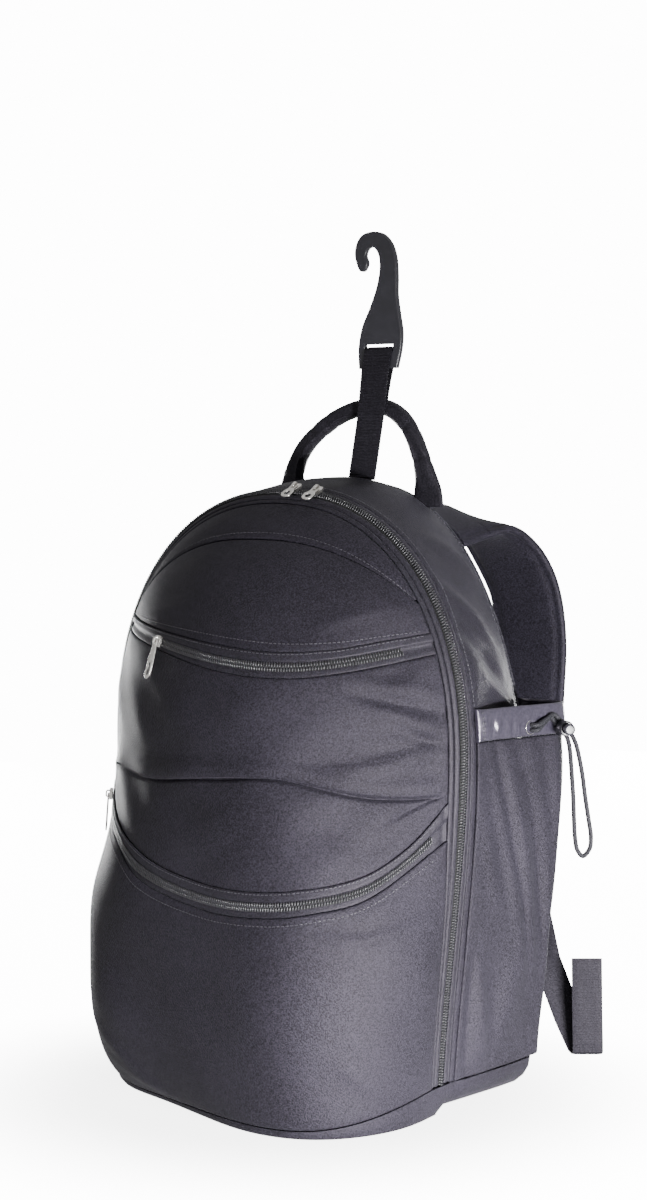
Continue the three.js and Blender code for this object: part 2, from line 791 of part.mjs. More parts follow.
function makeBody() {
  const start = zipPlane + coilWidth / 2 + rearTape + 2 * seamGap;
  const end = backSeam - seamGap;
  const gusset = (u, v) => gussetPoint(2 * u - 1, lerp(start, end, v));
  add("gusset", sheet(gusset, steps(36), steps(3), fabric), materials.twill);

  const quarterTurn = (share) => Math.sin((Math.PI / 2) * share);
  const rise = (v) => lerp(rearHem, backTop, quarterTurn(v * backTip) / quarterTurn(backTip));
  const rowsUp = 10;
  const columns = 12;
  const face = (u, v) => {
    const z = Math.min(rise(v), backTop - seatGap);
    return vec((2 * u - 1) * backHalf(z), 0, z);
  };
  const puff = (u, v) => {
    const at = face(u, v);
    return backPuff(at.x, at.z);
  };
  const points = [];
  const triangles = [];
  for (const y of [0, 1]) {
    for (const v of steps(rowsUp)) {
      for (const u of steps(columns)) {
        const p = face(u, v);
        p.y = backSeam + (y === 0 ? 0 : puff(u, v));
        points.push(p);
      }
    }
  }
  const layer = points.length / 2;
  const at = (i, j) => j * (columns + 1) + i;
  const quad = (a, b, c, d) => triangles.push([a, b, c], [a, c, d]);
  for (let j = 0; j < rowsUp; j += 1) {
    for (let i = 0; i < columns; i += 1) {
      quad(at(i, j), at(i, j + 1), at(i + 1, j + 1), at(i + 1, j));
      quad(layer + at(i, j), layer + at(i + 1, j), layer + at(i + 1, j + 1), layer + at(i, j + 1));
    }
  }
  const rim = [];
  for (let i = 0; i < columns; i += 1) rim.push(at(i, 0));
  for (let j = 0; j < rowsUp; j += 1) rim.push(at(columns, j));
  for (let i = columns; i > 0; i -= 1) rim.push(at(i, rowsUp));
  for (let j = rowsUp; j > 0; j -= 1) rim.push(at(0, j));
  rim.forEach((a, k) => {
    const b = rim[(k + 1) % rim.length];
    quad(a, b, layer + b, layer + a);
  });
  add("back_panel", closedGeometry(points, triangles), materials.mesh);
}

// The base is a shallow dish: its rim follows the lower edges of the front, the gusset and the back
function makeBase() {
  const rim = [];
  const foot = [];
  const push = (r, f) => {
    rim.push(r);
    foot.push(f);
  };
  for (const u of acrossSteps(16)) {
    const across = 2 * u - 1;
    const z = bottomEdge(across) - 2 * seamGap;
    const high = onFront(across, z);
    const low = onFront(across, 0);
    low.z = 0;
    push(high, low);
  }
  const sideSteps = [0.12, 0.34, 0.56, 0.78, 0.96];
  const inward = (side, y) => {
    const top = gussetPoint(side, y);
    const low = vec(top.x - side * floorTuck.side * smooth((y - zipPlane) / 40 + 0.35), y, 0);
    const depth = (y - zipPlane) / gussetDepth;
    const pocket = pocketPoint(side, pocketShare(depth), top.z);
    const under = smooth((depth - pocketPlan[0].depth) * 8) * smooth((1 - depth) * 8);
    return [vec(lerp(top.x, pocket.x, under), y, top.z - seamGap), low];
  };
  const backY = backSeam - seamGap;
  const rearFoot = backSeam - floorTuck.back;
  for (const share of sideSteps) {
    const y = lerp(zipPlane, backY, share);
    const [high, low] = inward(1, y);
    low.y = Math.min(low.y, rearFoot);
    push(high, low);
  }
  for (const share of [0.8, 0.4, 0, -0.4, -0.8]) {
    const x = share * backHalfWidth;
    push(vec(x, backY, rearHem - seamGap), vec(x * 0.96, rearFoot, 0));
  }
  for (const share of [...sideSteps].reverse()) {
    const y = lerp(zipPlane, backY, share);
    const [high, low] = inward(-1, y);
    low.y = Math.min(low.y, rearFoot);
    push(high, low);
  }
  const middle = vec(0, (foot[8].y + rearFoot) / 2, 0);
  const quarter = (high, low, angle) => {
    const s = Math.sin(angle);
    const c = Math.cos(angle);
    return vec(lerp(low.x, high.x, s), lerp(low.y, high.y, s), high.z * (1 - c));
  };
  const inner = (p, flat) => {
    const to = middle.clone().sub(p).setZ(0).normalize();
    return p
      .clone()
      .addScaledVector(to, baseFabric * (1 - flat))
      .add(vec(0, 0, baseFabric * flat));
  };
  const outerRings = [
    foot.map((f) => vec(lerp(middle.x, f.x, 0.5), lerp(middle.y, f.y, 0.5), 0)),
    foot.map((f) => f.clone()),
    rim.map((r, i) => quarter(r, foot[i], Math.PI / 4)),
    rim.map((r) => r.clone()),
  ];
  const flatness = [1, 1, 0.6, 0];
  const innerRings = outerRings.map((ring, k) => ring.map((p) => inner(p, flatness[k])));
  const around = rim.length;
  const floorInside = middle.clone().setZ(baseFabric);
  const points = [middle.clone(), ...outerRings.flat(), floorInside, ...innerRings.flat()];
  const layer = 1 + outerRings.length * around;
  const triangles = [];
  const at = (ring, i) => 1 + ring * around + (i % around);
  for (let i = 0; i < around; i += 1) {
    triangles.push([0, at(0, i), at(0, i + 1)]);
    triangles.push([layer, layer + at(0, i + 1), layer + at(0, i)]);
    for (let ring = 0; ring + 1 < outerRings.length; ring += 1) {
      const [a, b, c, d] = [at(ring, i), at(ring, i + 1), at(ring + 1, i + 1), at(ring + 1, i)];
      triangles.push([a, d, c], [a, c, b]);
      triangles.push([layer + a, layer + c, layer + d], [layer + a, layer + b, layer + c]);
    }
    const a = at(outerRings.length - 1, i);
    const b = at(outerRings.length - 1, i + 1);
    triangles.push([a, layer + a, layer + b], [a, layer + b, b]);
  }
  add("base_panel", closedGeometry(points, triangles), materials.twill);
}

// A side pocket's outer face: side is 1 on the wearer's right, share runs from its front seam to its rear one
const planLength = pocketPlan.length - 1;
const planRows = pocketPlan.map((r, i) => ({ ...r, row: i }));
const pocketDepth = (share) => lookUp(planRows, "row", "depth", share * planLength);
const gussetFoot = (depth) => lerp(zipEnd, rearHem, depth);

function pocketPoint(side, share, z) {
  const depth = pocketDepth(share);
  const reach = lookUp(planRows, "row", "reach", share * planLength);
  const up = clamp(z / pocketTop, 0, 1);
  const open = lookUp(pocketRows, "height", "reach", up) * pocketReach;
  const y = zipPlane + depth * gussetDepth;
  const wall = gussetSideX(side, y, z);
  const ripple = 0.5 + 0.5 * Math.sin(share * 22 + up * 2.5);
  const folds = pocketFold * ripple * up * (1 - up) * 4 * Math.sin(Math.PI * share);
  return vec(wall + side * (reach * open + folds + fabric + seatGap), y, z);
}

// The share round a pocket at which it reaches a depth, before it turns at its rear corner
function pocketShare(depth) {
  let low = 0;
  let high = pocketCorner / planLength;
  for (let i = 0; i < 24; i += 1) {
    const middle = (low + high) / 2;
    if (pocketDepth(middle) < depth) low = middle;
    else high = middle;
  }
  return low;
}

// The gusset's half width at a height on one side
function gussetSideX(side, y, z) {
  let low = 0.3;
  let high = 1;
  for (let i = 0; i < 24; i += 1) {
    const t = (low + high) / 2;
    if (gussetPoint(side * t, y).z > z) low = t;
    else high = t;
  }
  return gussetPoint(side * low, y).x;
}

function makePockets() {
  for (const [side, name] of [
    [1, "right"],
    [-1, "left"],
  ]) {
    const top = pocketTop - hemHeight - seamGap;
    const wall = (u, v) => {
      const foot = gussetFoot(pocketDepth(u)) + 2 * seamGap;
      return pocketPoint(side, u, lerp(foot, top, v));
    };
    add("side_pocket_" + name, sheet(wall, steps(16), steps(7), pocketFabric), materials.twill);
    const hem = (u, v) => pocketPoint(side, u, lerp(top + seamGap, pocketTop, v));
    add("pocket_hem_" + name, sheet(hem, steps(16), [0, 1], hemThickness, -hemFace), materials.satin);
  }
}

// Where a piece sits on a hem: the place on its face and the way out
function onHem(side, depth, drop) {
  const z = pocketTop - drop;
  const share = pocketShare(depth);
  const p = pocketPoint(side, share, z);
  const along = pocketPoint(side, share + 0.01, z).sub(pocketPoint(side, share - 0.01, z)).normalize();
  const out = vec(along.y, -along.x, 0).multiplyScalar(side).normalize();
  if (out.x * side < 0) out.negate();
  return { at: p.addScaledVector(out, hemFace), out };
}

function turned(geometry, at, out) {
  const turn = new THREE.Quaternion().setFromUnitVectors(vec(0, 1, 0), out);
  return geometry.applyQuaternion(turn).translate(at.x, at.y, at.z);
}

function lathe(profile, segments) {
  const points = profile.map(([r, y]) => new THREE.Vector2(r, y));
  const geometry = new THREE.LatheGeometry(points, segments);
  geometry.deleteAttribute("normal");
  geometry.deleteAttribute("uv");
  return mergeVertices(geometry, 1e-4);
}

function makeEyelets() {
  for (const [side, name] of [
    [1, "right"],
    [-1, "left"],
  ]) {
    const seat = onHem(side, eyeletDepth, eyeletDrop);
    const base = eyeletSeat;
    const ring = lathe(
      [
        [eyeletInner, base],
        [eyeletOuter, base],
        [lerp(eyeletInner, eyeletOuter, 0.6), base + eyeletRise],
        [eyeletInner, base + eyeletRise * 0.7],
        [eyeletInner, base],
      ],
      14
    );
    add("eyelet_" + name, turned(ring, seat.at, seat.out), materials.nickel);
  }
}

const wasm = await Module();
wasm.setup();

function toSolid(geometry) {
  const plain = geometry.clone();
  plain.deleteAttribute("normal");
  plain.deleteAttribute("uv");
  const merged = mergeVertices(plain, 1e-4);
  const mesh = new wasm.Mesh({
    numProp: 3,
    vertProperties: new Float32Array(merged.getAttribute("position").array),
    triVerts: new Uint32Array(merged.index.array),
  });
  mesh.merge();
  return new wasm.Manifold(mesh);
}

function fromSolid(solid) {
  const mesh = solid.getMesh();
  const geometry = new THREE.BufferGeometry();
  geometry.setAttribute("position", new THREE.BufferAttribute(mesh.vertProperties, 3));
  geometry.setIndex(new THREE.BufferAttribute(mesh.triVerts, 1));
  geometry.computeVertexNormals();
  return geometry;
}

// The cord lock: a barrel standing off the hem, a cross slot for the two strands and a press button
function makeCordLock() {
  const hem = onHem(1, lockDepth, lockDrop);
  const turn = THREE.MathUtils.degToRad(lockTurn);
  const seat = { at: hem.at, out: hem.out.clone().applyAxisAngle(vec(0, 0, 1), -turn) };
  const radius = lockDiameter / 2;
  const bore = stemDiameter / 2 + stemRoom;
  const start = 2 * seatGap + radius * Math.sin(turn);
  const end = start + lockLength;
  const barrel = lathe(
    [
      [0, start],
      [radius - 1, start],
      [radius, start + 1.2],
      [radius, end - 1],
      [radius - 0.8, end],
      [bore, end],
      [bore, end - lockBoreDepth],
      [0, end - lockBoreDepth],
    ],
    16
  );
  const slotWidth = cordDiameter + cordRoom.wide;
  const slotHeight = 2 * cordDiameter + cordRoom.high;
  const slot = new THREE.BoxGeometry(1.3 * lockDiameter, slotWidth, slotHeight);
  const slotAt = start + lockFoot + slotWidth / 2;
  slot.translate(0, slotAt, 0).rotateY(-THREE.MathUtils.degToRad(lockRoll));
  const body = fromSolid(toSolid(barrel).subtract(toSolid(slot)));
  add("cord_lock_body", turned(body, seat.at, seat.out), materials.plastic);

  const gap = seatGap + buttonTravel;
  const headStart = end + gap;
  const button = lathe(
    [
      [0, end - 2],
      [stemDiameter / 2, end - 2],
      [stemDiameter / 2, headStart],
      [buttonDiameter / 2, headStart],
      [buttonDiameter / 2, headStart + buttonHead - 1],
      [buttonDiameter / 2 - 1.2, headStart + buttonHead],
      [0, headStart + buttonHead],
    ],
    14
  );
  add("cord_lock_button", turned(button, seat.at, seat.out), materials.plastic);
}

function makeCord() {
  const path = new THREE.CatmullRomCurve3(cordRoute.map((p) => vec(...p)), false, "centripetal");
  const section = new THREE.Shape();
  const sides = 8;
  for (let i = 0; i < sides; i += 1) {
    const angle = (2 * Math.PI * i) / sides;
    const x = (cordDiameter / 2) * Math.cos(angle);
    const y = (cordDiameter / 2) * Math.sin(angle);
    if (i === 0) section.moveTo(x, y);
    else section.lineTo(x, y);
  }
  const tube = new THREE.ExtrudeGeometry(section, { steps: 48, extrudePath: path, curveSegments: 1 });
  add("draw_cord", tube, materials.cord);
}

// The haul handle: webbing sewn flat at its feet and rolled round in its middle
const handleY = backSeam - handleRoll / 2 - 1;

function makeHandle() {
  const y = handleY;
  const footShare = handleRows[0].across;
  const gussetAt = (x) => {
    let low = -0.6;
    let high = 0.6;
    for (let i = 0; i < 24; i += 1) {
      const t = (low + high) / 2;
      if (gussetPoint(t, y).x < x) low = t;
      else high = t;
    }
    return low;
  };
  const stations = handleRows.map((row, i) => {
    const x = (row.across * handleSpan) / 2;
    const side = Math.sign(row.across);
    const t = gussetAt((side * Math.abs(footShare) * handleSpan) / 2);
    const foot = gussetPoint(t, y);
    const e = 0.01;
    const slope = gussetPoint(t + e, y).sub(gussetPoint(t - e, y)).normalize();
    const out = vec(-slope.z, 0, slope.x).normalize();
    if (out.z < 0) out.negate();
    const rolled = smooth(row.up / 0.55);
    const atFoot = row.up === 0;
    return {
      at: atFoot ? foot.addScaledVector(out, handleSeat) : vec(x, y, foot.z + row.up * handleRise),
      along: atFoot ? out.multiplyScalar(i === 0 ? 1 : -1) : undefined,
      width: lerp(handleFoot, handleRoll, rolled),
      thickness: lerp(handleFlat, handleRoll, rolled),
    };
  });
  stations.forEach((s, i) => {
    const before = stations[Math.max(i - 1, 0)].at;
    const after = stations[Math.min(i + 1, stations.length - 1)].at;
    const along = s.along ?? after.clone().sub(before);
    s.wide = vec(0, 1, 0).cross(along);
  });
  add("haul_handle", bandSolid(stations, paddedSection), materials.strap);
}

// Stations of webbing that comes up one face of a bar, turns over its top edge and goes down the other face
function wrapOver(bar, wide, below) {
  const radius = bar.thickness / 2 + webbingThickness / 2 + wrapGap;
  const centre = bar.top - wrapDrop;
  const row = (angle, drop) => {
    const a = THREE.MathUtils.degToRad(angle);
    const at = vec(bar.x, bar.y + radius * Math.sin(a), centre + radius * Math.cos(a) - drop);
    const along = vec(0, Math.cos(a), -Math.sin(a));
    return { at, along, wide, width: webbing, thickness: webbingThickness, level: true };
  };
  return [row(-90, below), ...[-90, -54, -18, 18, 54, 90].map((angle) => row(angle, 0)), row(90, below)];
}

function makeHook() {
  const y = handleY - handleRoll / 2 - 1.5 * webbingThickness - wrapGap - 2 * seatGap;
  const base = gussetPoint(0.01, y).z + hookSeat;
  const slotZ = base + hookStrapRise;
  const lean = (z) => hookFoot + (z - base) * hookLean;
  const wide = vec(1, 0, 0);
  const flat = { wide, level: true, width: webbing, thickness: webbingThickness };
  const bar = { x: lean(slotZ), y, top: slotZ, thickness: hookThickness };
  const wrap = wrapOver(bar, wide, hookBar);
  const back = wrap[wrap.length - 1].at.y;
  const tailEnd = slotZ - hookBar - hookStrapTurn;
  const close = y + webbingThickness + wrapGap;
  const on = (depth, z) => ({ ...flat, at: vec(lean(z), depth, z) });
  const stations = [
    on(y, base),
    on(y, base + hookStrapRise / 2),
    ...wrap,
    on(lerp(back, close, 0.6), slotZ - hookBar - hookStrapClose),
    on(close, tailEnd),
  ];
  for (const s of wrap) s.at.x = lean(s.at.z);
  add("hook_strap", bandSolid(stations, flatSection), materials.strap);

  // Outline as shares of the hook's width and height, from the lower left, round the hook and back
  const outline = [
    [-0.42, 0.0],
    [-0.43, 0.15],
    [-0.36, 0.3],
    [-0.19, 0.45],
    [-0.05, 0.6],
    [0.01, 0.74],
    [-0.02, 0.83],
    [-0.11, 0.88],
    [-0.21, 0.88],
    [-0.28, 0.83],
    [-0.24, 0.77],
    [-0.31, 0.715],
    [-0.4, 0.715],
    [-0.48, 0.78],
    [-0.51, 0.85],
    [-0.46, 0.93],
    [-0.35, 0.98],
    [-0.13, 1.0],
    [0.08, 0.98],
    [0.25, 0.91],
    [0.34, 0.81],
    [0.37, 0.67],
    [0.37, 0.53],
    [0.42, 0.39],
    [0.47, 0.26],
    [0.45, 0.14],
    [0.37, 0.0],
  ];
  const points = outline.map(([a, b]) => new THREE.Vector2(a * hookWidth, b * hookHeight));
  const shape = new THREE.Shape(new THREE.SplineCurve(points.reverse()).getPoints(2 * points.length));
  const slotLow = hookBar;
  const slotRoom = 2 * webbingThickness + hookSlotRoom;
  const half = webbing / 2 + hookSlotSide;
  const hole = new THREE.Path();
  hole.moveTo(-half, slotLow);
  hole.lineTo(-half, slotLow + slotRoom);
  hole.lineTo(half, slotLow + slotRoom);
  hole.lineTo(half, slotLow);
  hole.closePath();
  shape.holes.push(hole);
  const plate = { depth: hookThickness, bevelEnabled: false, curveSegments: 2 };
  const hook = new THREE.ExtrudeGeometry(shape, plate);
  hook.translate(0, 0, -hookThickness / 2).rotateX(Math.PI / 2);
  const seat = slotZ - slotLow;
  hook.translate(lean(slotZ), y, seat);
  add("fence_hook", hook, materials.plastic);
}

// Shoulder straps, their ladder locks and the webbing that runs to the bag's lower corners
function makeStraps() {
  for (const [side, name] of [
    [1, "right"],
    [-1, "left"],
  ]) {
    const stations = strapRows.map((r, i) => {
      const turn = THREE.MathUtils.degToRad(r.turn);
      const x = strapRoot.x + r.across * strapDrop;
      const z = strapRoot.z - r.down * strapDrop;
      const out = i === 0 ? backPuff(x - strapWidth / 2, z) + seatGap : r.back * strapStand;
      const end = i === strapRows.length - 1 ? vec(0, 0, -1) : undefined;
      return {
        at: vec(side * x, backSeam + out, z),
        along: i === 0 ? vec(0, 1, 0) : end,
        wide: vec(side * Math.cos(turn), 0, Math.sin(turn)),
        width: strapWidth * r.width,
        thickness: strapThickness * (r.width < 0.6 ? 0.6 : 1),
      };
    });
    add("shoulder_strap_" + name, bandSolid(stations, paddedSection), materials.strap);

    const { width, height, thickness, side: edge, lowBar, lowSlot, midBar, topSlot } = ladder;
    const half = width / 2;
    const frame = new THREE.Shape();
    frame.moveTo(-half, 0);
    frame.lineTo(half, 0);
    frame.lineTo(half, height);
    frame.lineTo(-half, height);
    frame.closePath();
    const midFoot = lowBar + lowSlot;
    for (const [low, high] of [
      [lowBar, midFoot],
      [midFoot + midBar, midFoot + midBar + topSlot],
    ]) {
      const slot = new THREE.Path();
      slot.moveTo(-half + edge, low);
      slot.lineTo(-half + edge, high);
      slot.lineTo(half - edge, high);
      slot.lineTo(half - edge, low);
      slot.closePath();
      frame.holes.push(slot);
    }
    const lock = new THREE.ExtrudeGeometry(frame, { depth: thickness, bevelEnabled: false });
    lock.translate(0, 0, -thickness / 2).rotateX(Math.PI / 2);
    const strapEnd = stations[stations.length - 1].at;
    const lockZ = strapEnd.z - seatGap - height;
    const lockX = strapEnd.x;
    const lockY = strapEnd.y;
    lock.translate(lockX, lockY, lockZ);
    add("ladder_lock_" + name, lock, materials.plastic);

    const wide = vec(side, 0, 0);
    const corner = vec(side * webbingCorner.x, backSeam, webbingCorner.z);
    const size = { width: webbing, thickness: webbingThickness };
    const bar = { x: lockX, y: lockY, top: lockZ + midFoot + midBar, thickness };
    const place = (r) => corner.clone().add(vec(side * r.x, r.y, r.z));
    const cornerFace = backPuff(webbingCorner.x - webbing / 2, webbingCorner.z) + 2 * seatGap;
    const up = webbingUp.map((r) => ({ ...size, at: place({ ...r, y: r.y + cornerFace }), wide }));
    up[0].along = vec(0, 1, 0);
    const down = webbingDown.map((r) => {
      const turn = THREE.MathUtils.degToRad(r.turn);
      return { ...size, at: place(r), wide: vec(side * Math.cos(turn), Math.sin(turn), 0), level: true };
    });
    const wrap = wrapOver(bar, wide, midBar + lowSlot + lowBar + ladderTail);
    add("lower_webbing_" + name, bandSolid([...up, ...wrap, ...down], flatSection), materials.strap);
  }
}

// A slider on its coil and the pull that hangs from its bridge, in the frame of the slider's seat
const pinHalf = pullThickness / 2;
const pinCorner = pinHalf * Math.SQRT2;
const bridgeTop = pinCorner + pinRoom + bridgeBar;
const ringReach = Math.hypot(bridgeReach + bridgeBar, bridgeTop) + pinRoom;
const ringHalf = bridgeWidth / 2 + pinRoom;
const ringRim = 1.3;

function makeSlider(name, seat, up, out, pull) {
  const right = up.clone().cross(out).normalize();
  const frame = new THREE.Matrix4().makeBasis(right, up, out).setPosition(seat);
  const foot = coilRise + seatGap;
  const pin = foot + sliderThickness + pinRoom + pinHalf;

  const plate = new THREE.Shape();
  const w = sliderWidth / 2;
  const l = sliderLength / 2;
  for (const [i, [x, y]] of [
    [-w * 0.6, -l],
    [w * 0.6, -l],
    [w, l * 0.3],
    [w * 0.8, l],
    [-w * 0.8, l],
    [-w, l * 0.3],
  ].entries()) {
    if (i === 0) plate.moveTo(x, y);
    else plate.lineTo(x, y);
  }
  plate.closePath();
  const body = new THREE.ExtrudeGeometry(plate, { depth: sliderThickness, bevelEnabled: false });
  body.translate(0, 0, foot);

  const arch = new THREE.Shape();
  const outer = bridgeReach + bridgeBar;
  const low = foot + sliderThickness / 2;
  const crown = pin + pinCorner + pinRoom;
  arch.moveTo(-outer, low);
  arch.lineTo(outer, low);
  arch.lineTo(outer, crown);
  arch.lineTo(outer - bridgeBar, crown + bridgeBar);
  arch.lineTo(bridgeBar - outer, crown + bridgeBar);
  arch.lineTo(-outer, crown);
  arch.closePath();
  const eye = new THREE.Path();
  const floor = foot + sliderThickness;
  eye.moveTo(-bridgeReach, floor);
  eye.lineTo(-bridgeReach, crown);
  eye.lineTo(bridgeReach, crown);
  eye.lineTo(bridgeReach, floor);
  eye.closePath();
  arch.holes.push(eye);
  const bridge = new THREE.ExtrudeGeometry(arch, { depth: bridgeWidth, bevelEnabled: false });
  bridge.translate(0, 0, -bridgeWidth / 2);
  bridge.applyMatrix4(new THREE.Matrix4().makeBasis(vec(0, 1, 0), vec(0, 0, 1), vec(1, 0, 0)));
  const slider = fromSolid(toSolid(body).add(toSolid(bridge)));
  add(name + "_slider", slider.applyMatrix4(frame), materials.nickel);

  const half = ringHalf + ringRim;
  const wide = pull.width / 2;
  const waist = ringReach + ringRim;
  const end = pull.length - wide;
  const tab = new THREE.Shape();
  tab.moveTo(-half, pinHalf);
  tab.lineTo(-half, -waist);
  tab.lineTo(-wide, -lerp(waist, end, 0.5));
  tab.absarc(0, -end, wide, Math.PI, 2 * Math.PI, false);
  tab.lineTo(wide, -lerp(waist, end, 0.5));
  tab.lineTo(half, -waist);
  tab.lineTo(half, pinHalf);
  tab.closePath();
  const ring = new THREE.Path();
  ring.moveTo(-ringHalf, -pinHalf);
  ring.lineTo(-ringHalf, -ringReach);
  ring.lineTo(ringHalf, -ringReach);
  ring.lineTo(ringHalf, -pinHalf);
  ring.closePath();
  const grip = new THREE.Path();
  const gripLength = (pull.length - waist) * pull.hole;
  grip.absellipse(0, -end - wide * 0.4 + gripLength / 2, wide * 0.5, gripLength / 2, 0, 2 * Math.PI, false);
  tab.holes.push(ring, grip);
  const blank = { depth: pullThickness, bevelEnabled: false, curveSegments: 5 };
  const shape = new THREE.ExtrudeGeometry(tab, blank);
  shape.translate(0, 0, pin - pinHalf);
  add(name + "_pull", shape.applyMatrix4(frame), materials.nickel);
}

function makeSliders() {
  const pockets = [
    ["lower", lowerTapeSeam, flapSeam, lowerZip.from],
    ["upper", upperTapeSeam, upperFlapSeam, upperZip.from],
  ];
  for (const [name, below, above, across] of pockets) {
    const middle = (c) => lerp(seam(below)(c), seam(above)(c), coilPlace);
    const inward = across + 0.02;
    const z = middle(inward);
    const at = onFront(inward, z);
    const e = 2;
    const climb = onFront(inward, z + e).sub(onFront(inward, z - e)).normalize();
    const over = onFront(inward + 0.02, z).sub(onFront(inward - 0.02, z)).normalize();
    const out = over.clone().cross(climb).normalize();
    const up = vec(0, 0, 1).addScaledVector(out, -out.z).normalize();
    makeSlider(name, at, up, out, longPull);
  }
  for (const [name, t] of [
    ["main_left", mainSliders.left],
    ["main_right", mainSliders.right],
  ]) {
    const at = zipPoint(t);
    const inside = frontPoint(...inFromZip(t, sliderSeat));
    const behind = gussetPoint(t, zipPlane + sliderSeat);
    const up = at.clone().sub(inside).normalize();
    const e = 0.01;
    const right = zipPoint(t + e).sub(zipPoint(t - e)).normalize();
    const out = right.clone().cross(up).normalize();
    const rear = right.clone().cross(behind.sub(at).normalize()).normalize();
    if (out.y > 0) out.negate();
    out.lerp(rear.z > 0 ? rear : rear.negate(), 0.35).normalize();
    const level = right.cross(out).negate().normalize();
    makeSlider(name, at, level, out, shortPull);
  }
}

makeFront();
makeFrontZips();
makeMainZip();
makeBody();
makeBase();
makePockets();
makeEyelets();
makeCordLock();
makeCord();
makeHandle();
makeHook();
makeStraps();
makeSliders();

export default bag;
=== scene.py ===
import math

import bmesh
import bpy
import numpy as np
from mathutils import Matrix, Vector


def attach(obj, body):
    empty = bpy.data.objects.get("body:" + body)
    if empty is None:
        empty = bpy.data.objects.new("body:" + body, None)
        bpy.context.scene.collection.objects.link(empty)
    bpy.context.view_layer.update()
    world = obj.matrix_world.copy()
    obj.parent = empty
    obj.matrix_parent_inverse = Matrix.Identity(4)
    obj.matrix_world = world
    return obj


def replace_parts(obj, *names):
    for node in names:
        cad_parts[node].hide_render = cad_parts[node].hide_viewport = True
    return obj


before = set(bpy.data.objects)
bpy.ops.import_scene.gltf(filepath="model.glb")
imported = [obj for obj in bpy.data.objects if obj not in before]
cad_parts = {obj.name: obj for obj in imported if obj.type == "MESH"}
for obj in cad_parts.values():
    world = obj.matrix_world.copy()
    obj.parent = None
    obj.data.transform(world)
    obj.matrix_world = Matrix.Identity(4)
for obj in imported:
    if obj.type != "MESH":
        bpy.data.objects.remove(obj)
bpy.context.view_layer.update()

MM = 0.001
rng = np.random.default_rng(7)

# Sizes in millimetres, the frame's own
ZIP_TOP, WIDEST, BODY_HALF, BASE_HALF = 468.0, 270.0, 162.0, 140.0
POWER, ZIP_PLANE, BULGE, FABRIC = 2.2, -6.0, 100.0, 1.6
LEAN_RIGHT, LEAN_FADES = 0.26, (250, 200)
TUCK_DEPTH, TUCK_REACH, TUCK_TURN = (3, 28), (30, 85), (60, 180)
SEAM_GAP = 0.3
GUSSET_DEPTH, GUSSET_SWELL = 118.0, 5.0
BACK_SEAM = ZIP_PLANE + GUSSET_DEPTH
BACK_TOP, BACK_HALF, BACK_WIDEST = 474.0, 155.0, 150.0
BACK_EDGE, BACK_PADDING, SPINE_CHANNEL = 3, 11, 46
FRONT_HEM, ZIP_END, REAR_HEM = 6.0, 22.0, 26.0
BASE_FABRIC, FLOOR_TUCK_SIDE, FLOOR_TUCK_BACK = 2.0, 24, 12
ZIP_STOP = 0.998
COIL_WIDTH, FRONT_TAPE, REAR_TAPE = 7.0, 9.5, 7.5
POCKET_TOP, POCKET_REACH, POCKET_FABRIC, POCKET_FOLD = 306.0, 38.0, 1.4, 2.6
HEM_HEIGHT, HEM_THICK, HEM_FACE = 25.0, 3.2, 1.2
WEBBING, WEBBING_THICK, WRAP_GAP, WRAP_DROP = 25.0, 1.8, 0.4, 1.2
STRAP_WIDTH, STRAP_THICK, STRAP_ACROSS = 65.0, 11.0, 66
STRAP_HEIGHT, STRAP_DROP, STRAP_STAND = 440.0, 272, 98
CORNER_ACROSS, CORNER_HEIGHT = 137.0, 38.0
HANDLE_SPAN, HANDLE_RISE, HANDLE_ROLL = 132, 82, 13
HANDLE_FOOT, HANDLE_FLAT, HANDLE_SEAT = 28, 4, 0.8
HOOK_SIZE, HOOK_THICK, HOOK_BAR, HOOK_EASE = (45, 109), 5, 14.0, 1.1
HOOK_FOOT, HOOK_LEAN, HOOK_SEAT, HOOK_STRAP_RISE = 8, 0.17, 0.7, 103
SLOT_SIDE, SLOT_ROOM = 0.6, 1.6
CORD_RADIUS, BRAID_RISE, BRAID_TURN = 1.6, 0.25, 5.2
# How bright the stage is, and how far out the floor's glow reaches full strength, in metres; the dimmer glow
# near the bag is a painted shadow
BACKDROP, AMBIENT, FLOOR_GLOW_IN_PAINTED_SHADOW, FLOOR_LIGHT = 14.0, 0.05, 5.0, 0.38
PAINTED_SHADOW_REACH = (0.14, 0.36)
REFLECTED = 0.55
MIDDLE = np.array([0.0, (ZIP_PLANE + BACK_SEAM) / 2, ZIP_TOP / 2])

# Rows up the front: height, bulge, power, fullness, swell left, swell right
FRONT = np.array([
    [0.0, 1.12, 4.8, 0.4, 0.014, 0.028],
    [0.15, 1.15, 4.6, 0.42, 0.03, 0.036],
    [0.33, 1.16, 4.2, 0.46, 0.04, 0.036],
    [0.56, 1.13, 3.6, 0.58, 0.04, 0.021],
    [0.78, 1.07, 2.8, 0.84, 0.0, 0.0],
    [1.0, 1.0, 2.3, 1.0, 0.0, 0.0],
])
LOWER_TAPE = np.array([[-1, 0.474], [-0.68, 0.417], [-0.45, 0.37], [0, 0.341], [0.4, 0.341],
                       [0.65, 0.353], [0.82, 0.374], [1, 0.449]])
FLAP = np.array([[-1, 0.513], [-0.75, 0.455], [-0.4, 0.406], [-0.05, 0.383], [0.25, 0.378],
                 [0.55, 0.385], [0.78, 0.404], [0.9, 0.444], [1, 0.509]])
SAG = np.array([[-1, 0.545], [-0.49, 0.534], [0, 0.549], [0.4, 0.555], [0.77, 0.526], [1, 0.522]])
UPPER_TAPE = np.array([[-1, 0.763], [-0.43, 0.739], [0, 0.717], [0.41, 0.709], [0.69, 0.72], [1, 0.744]])
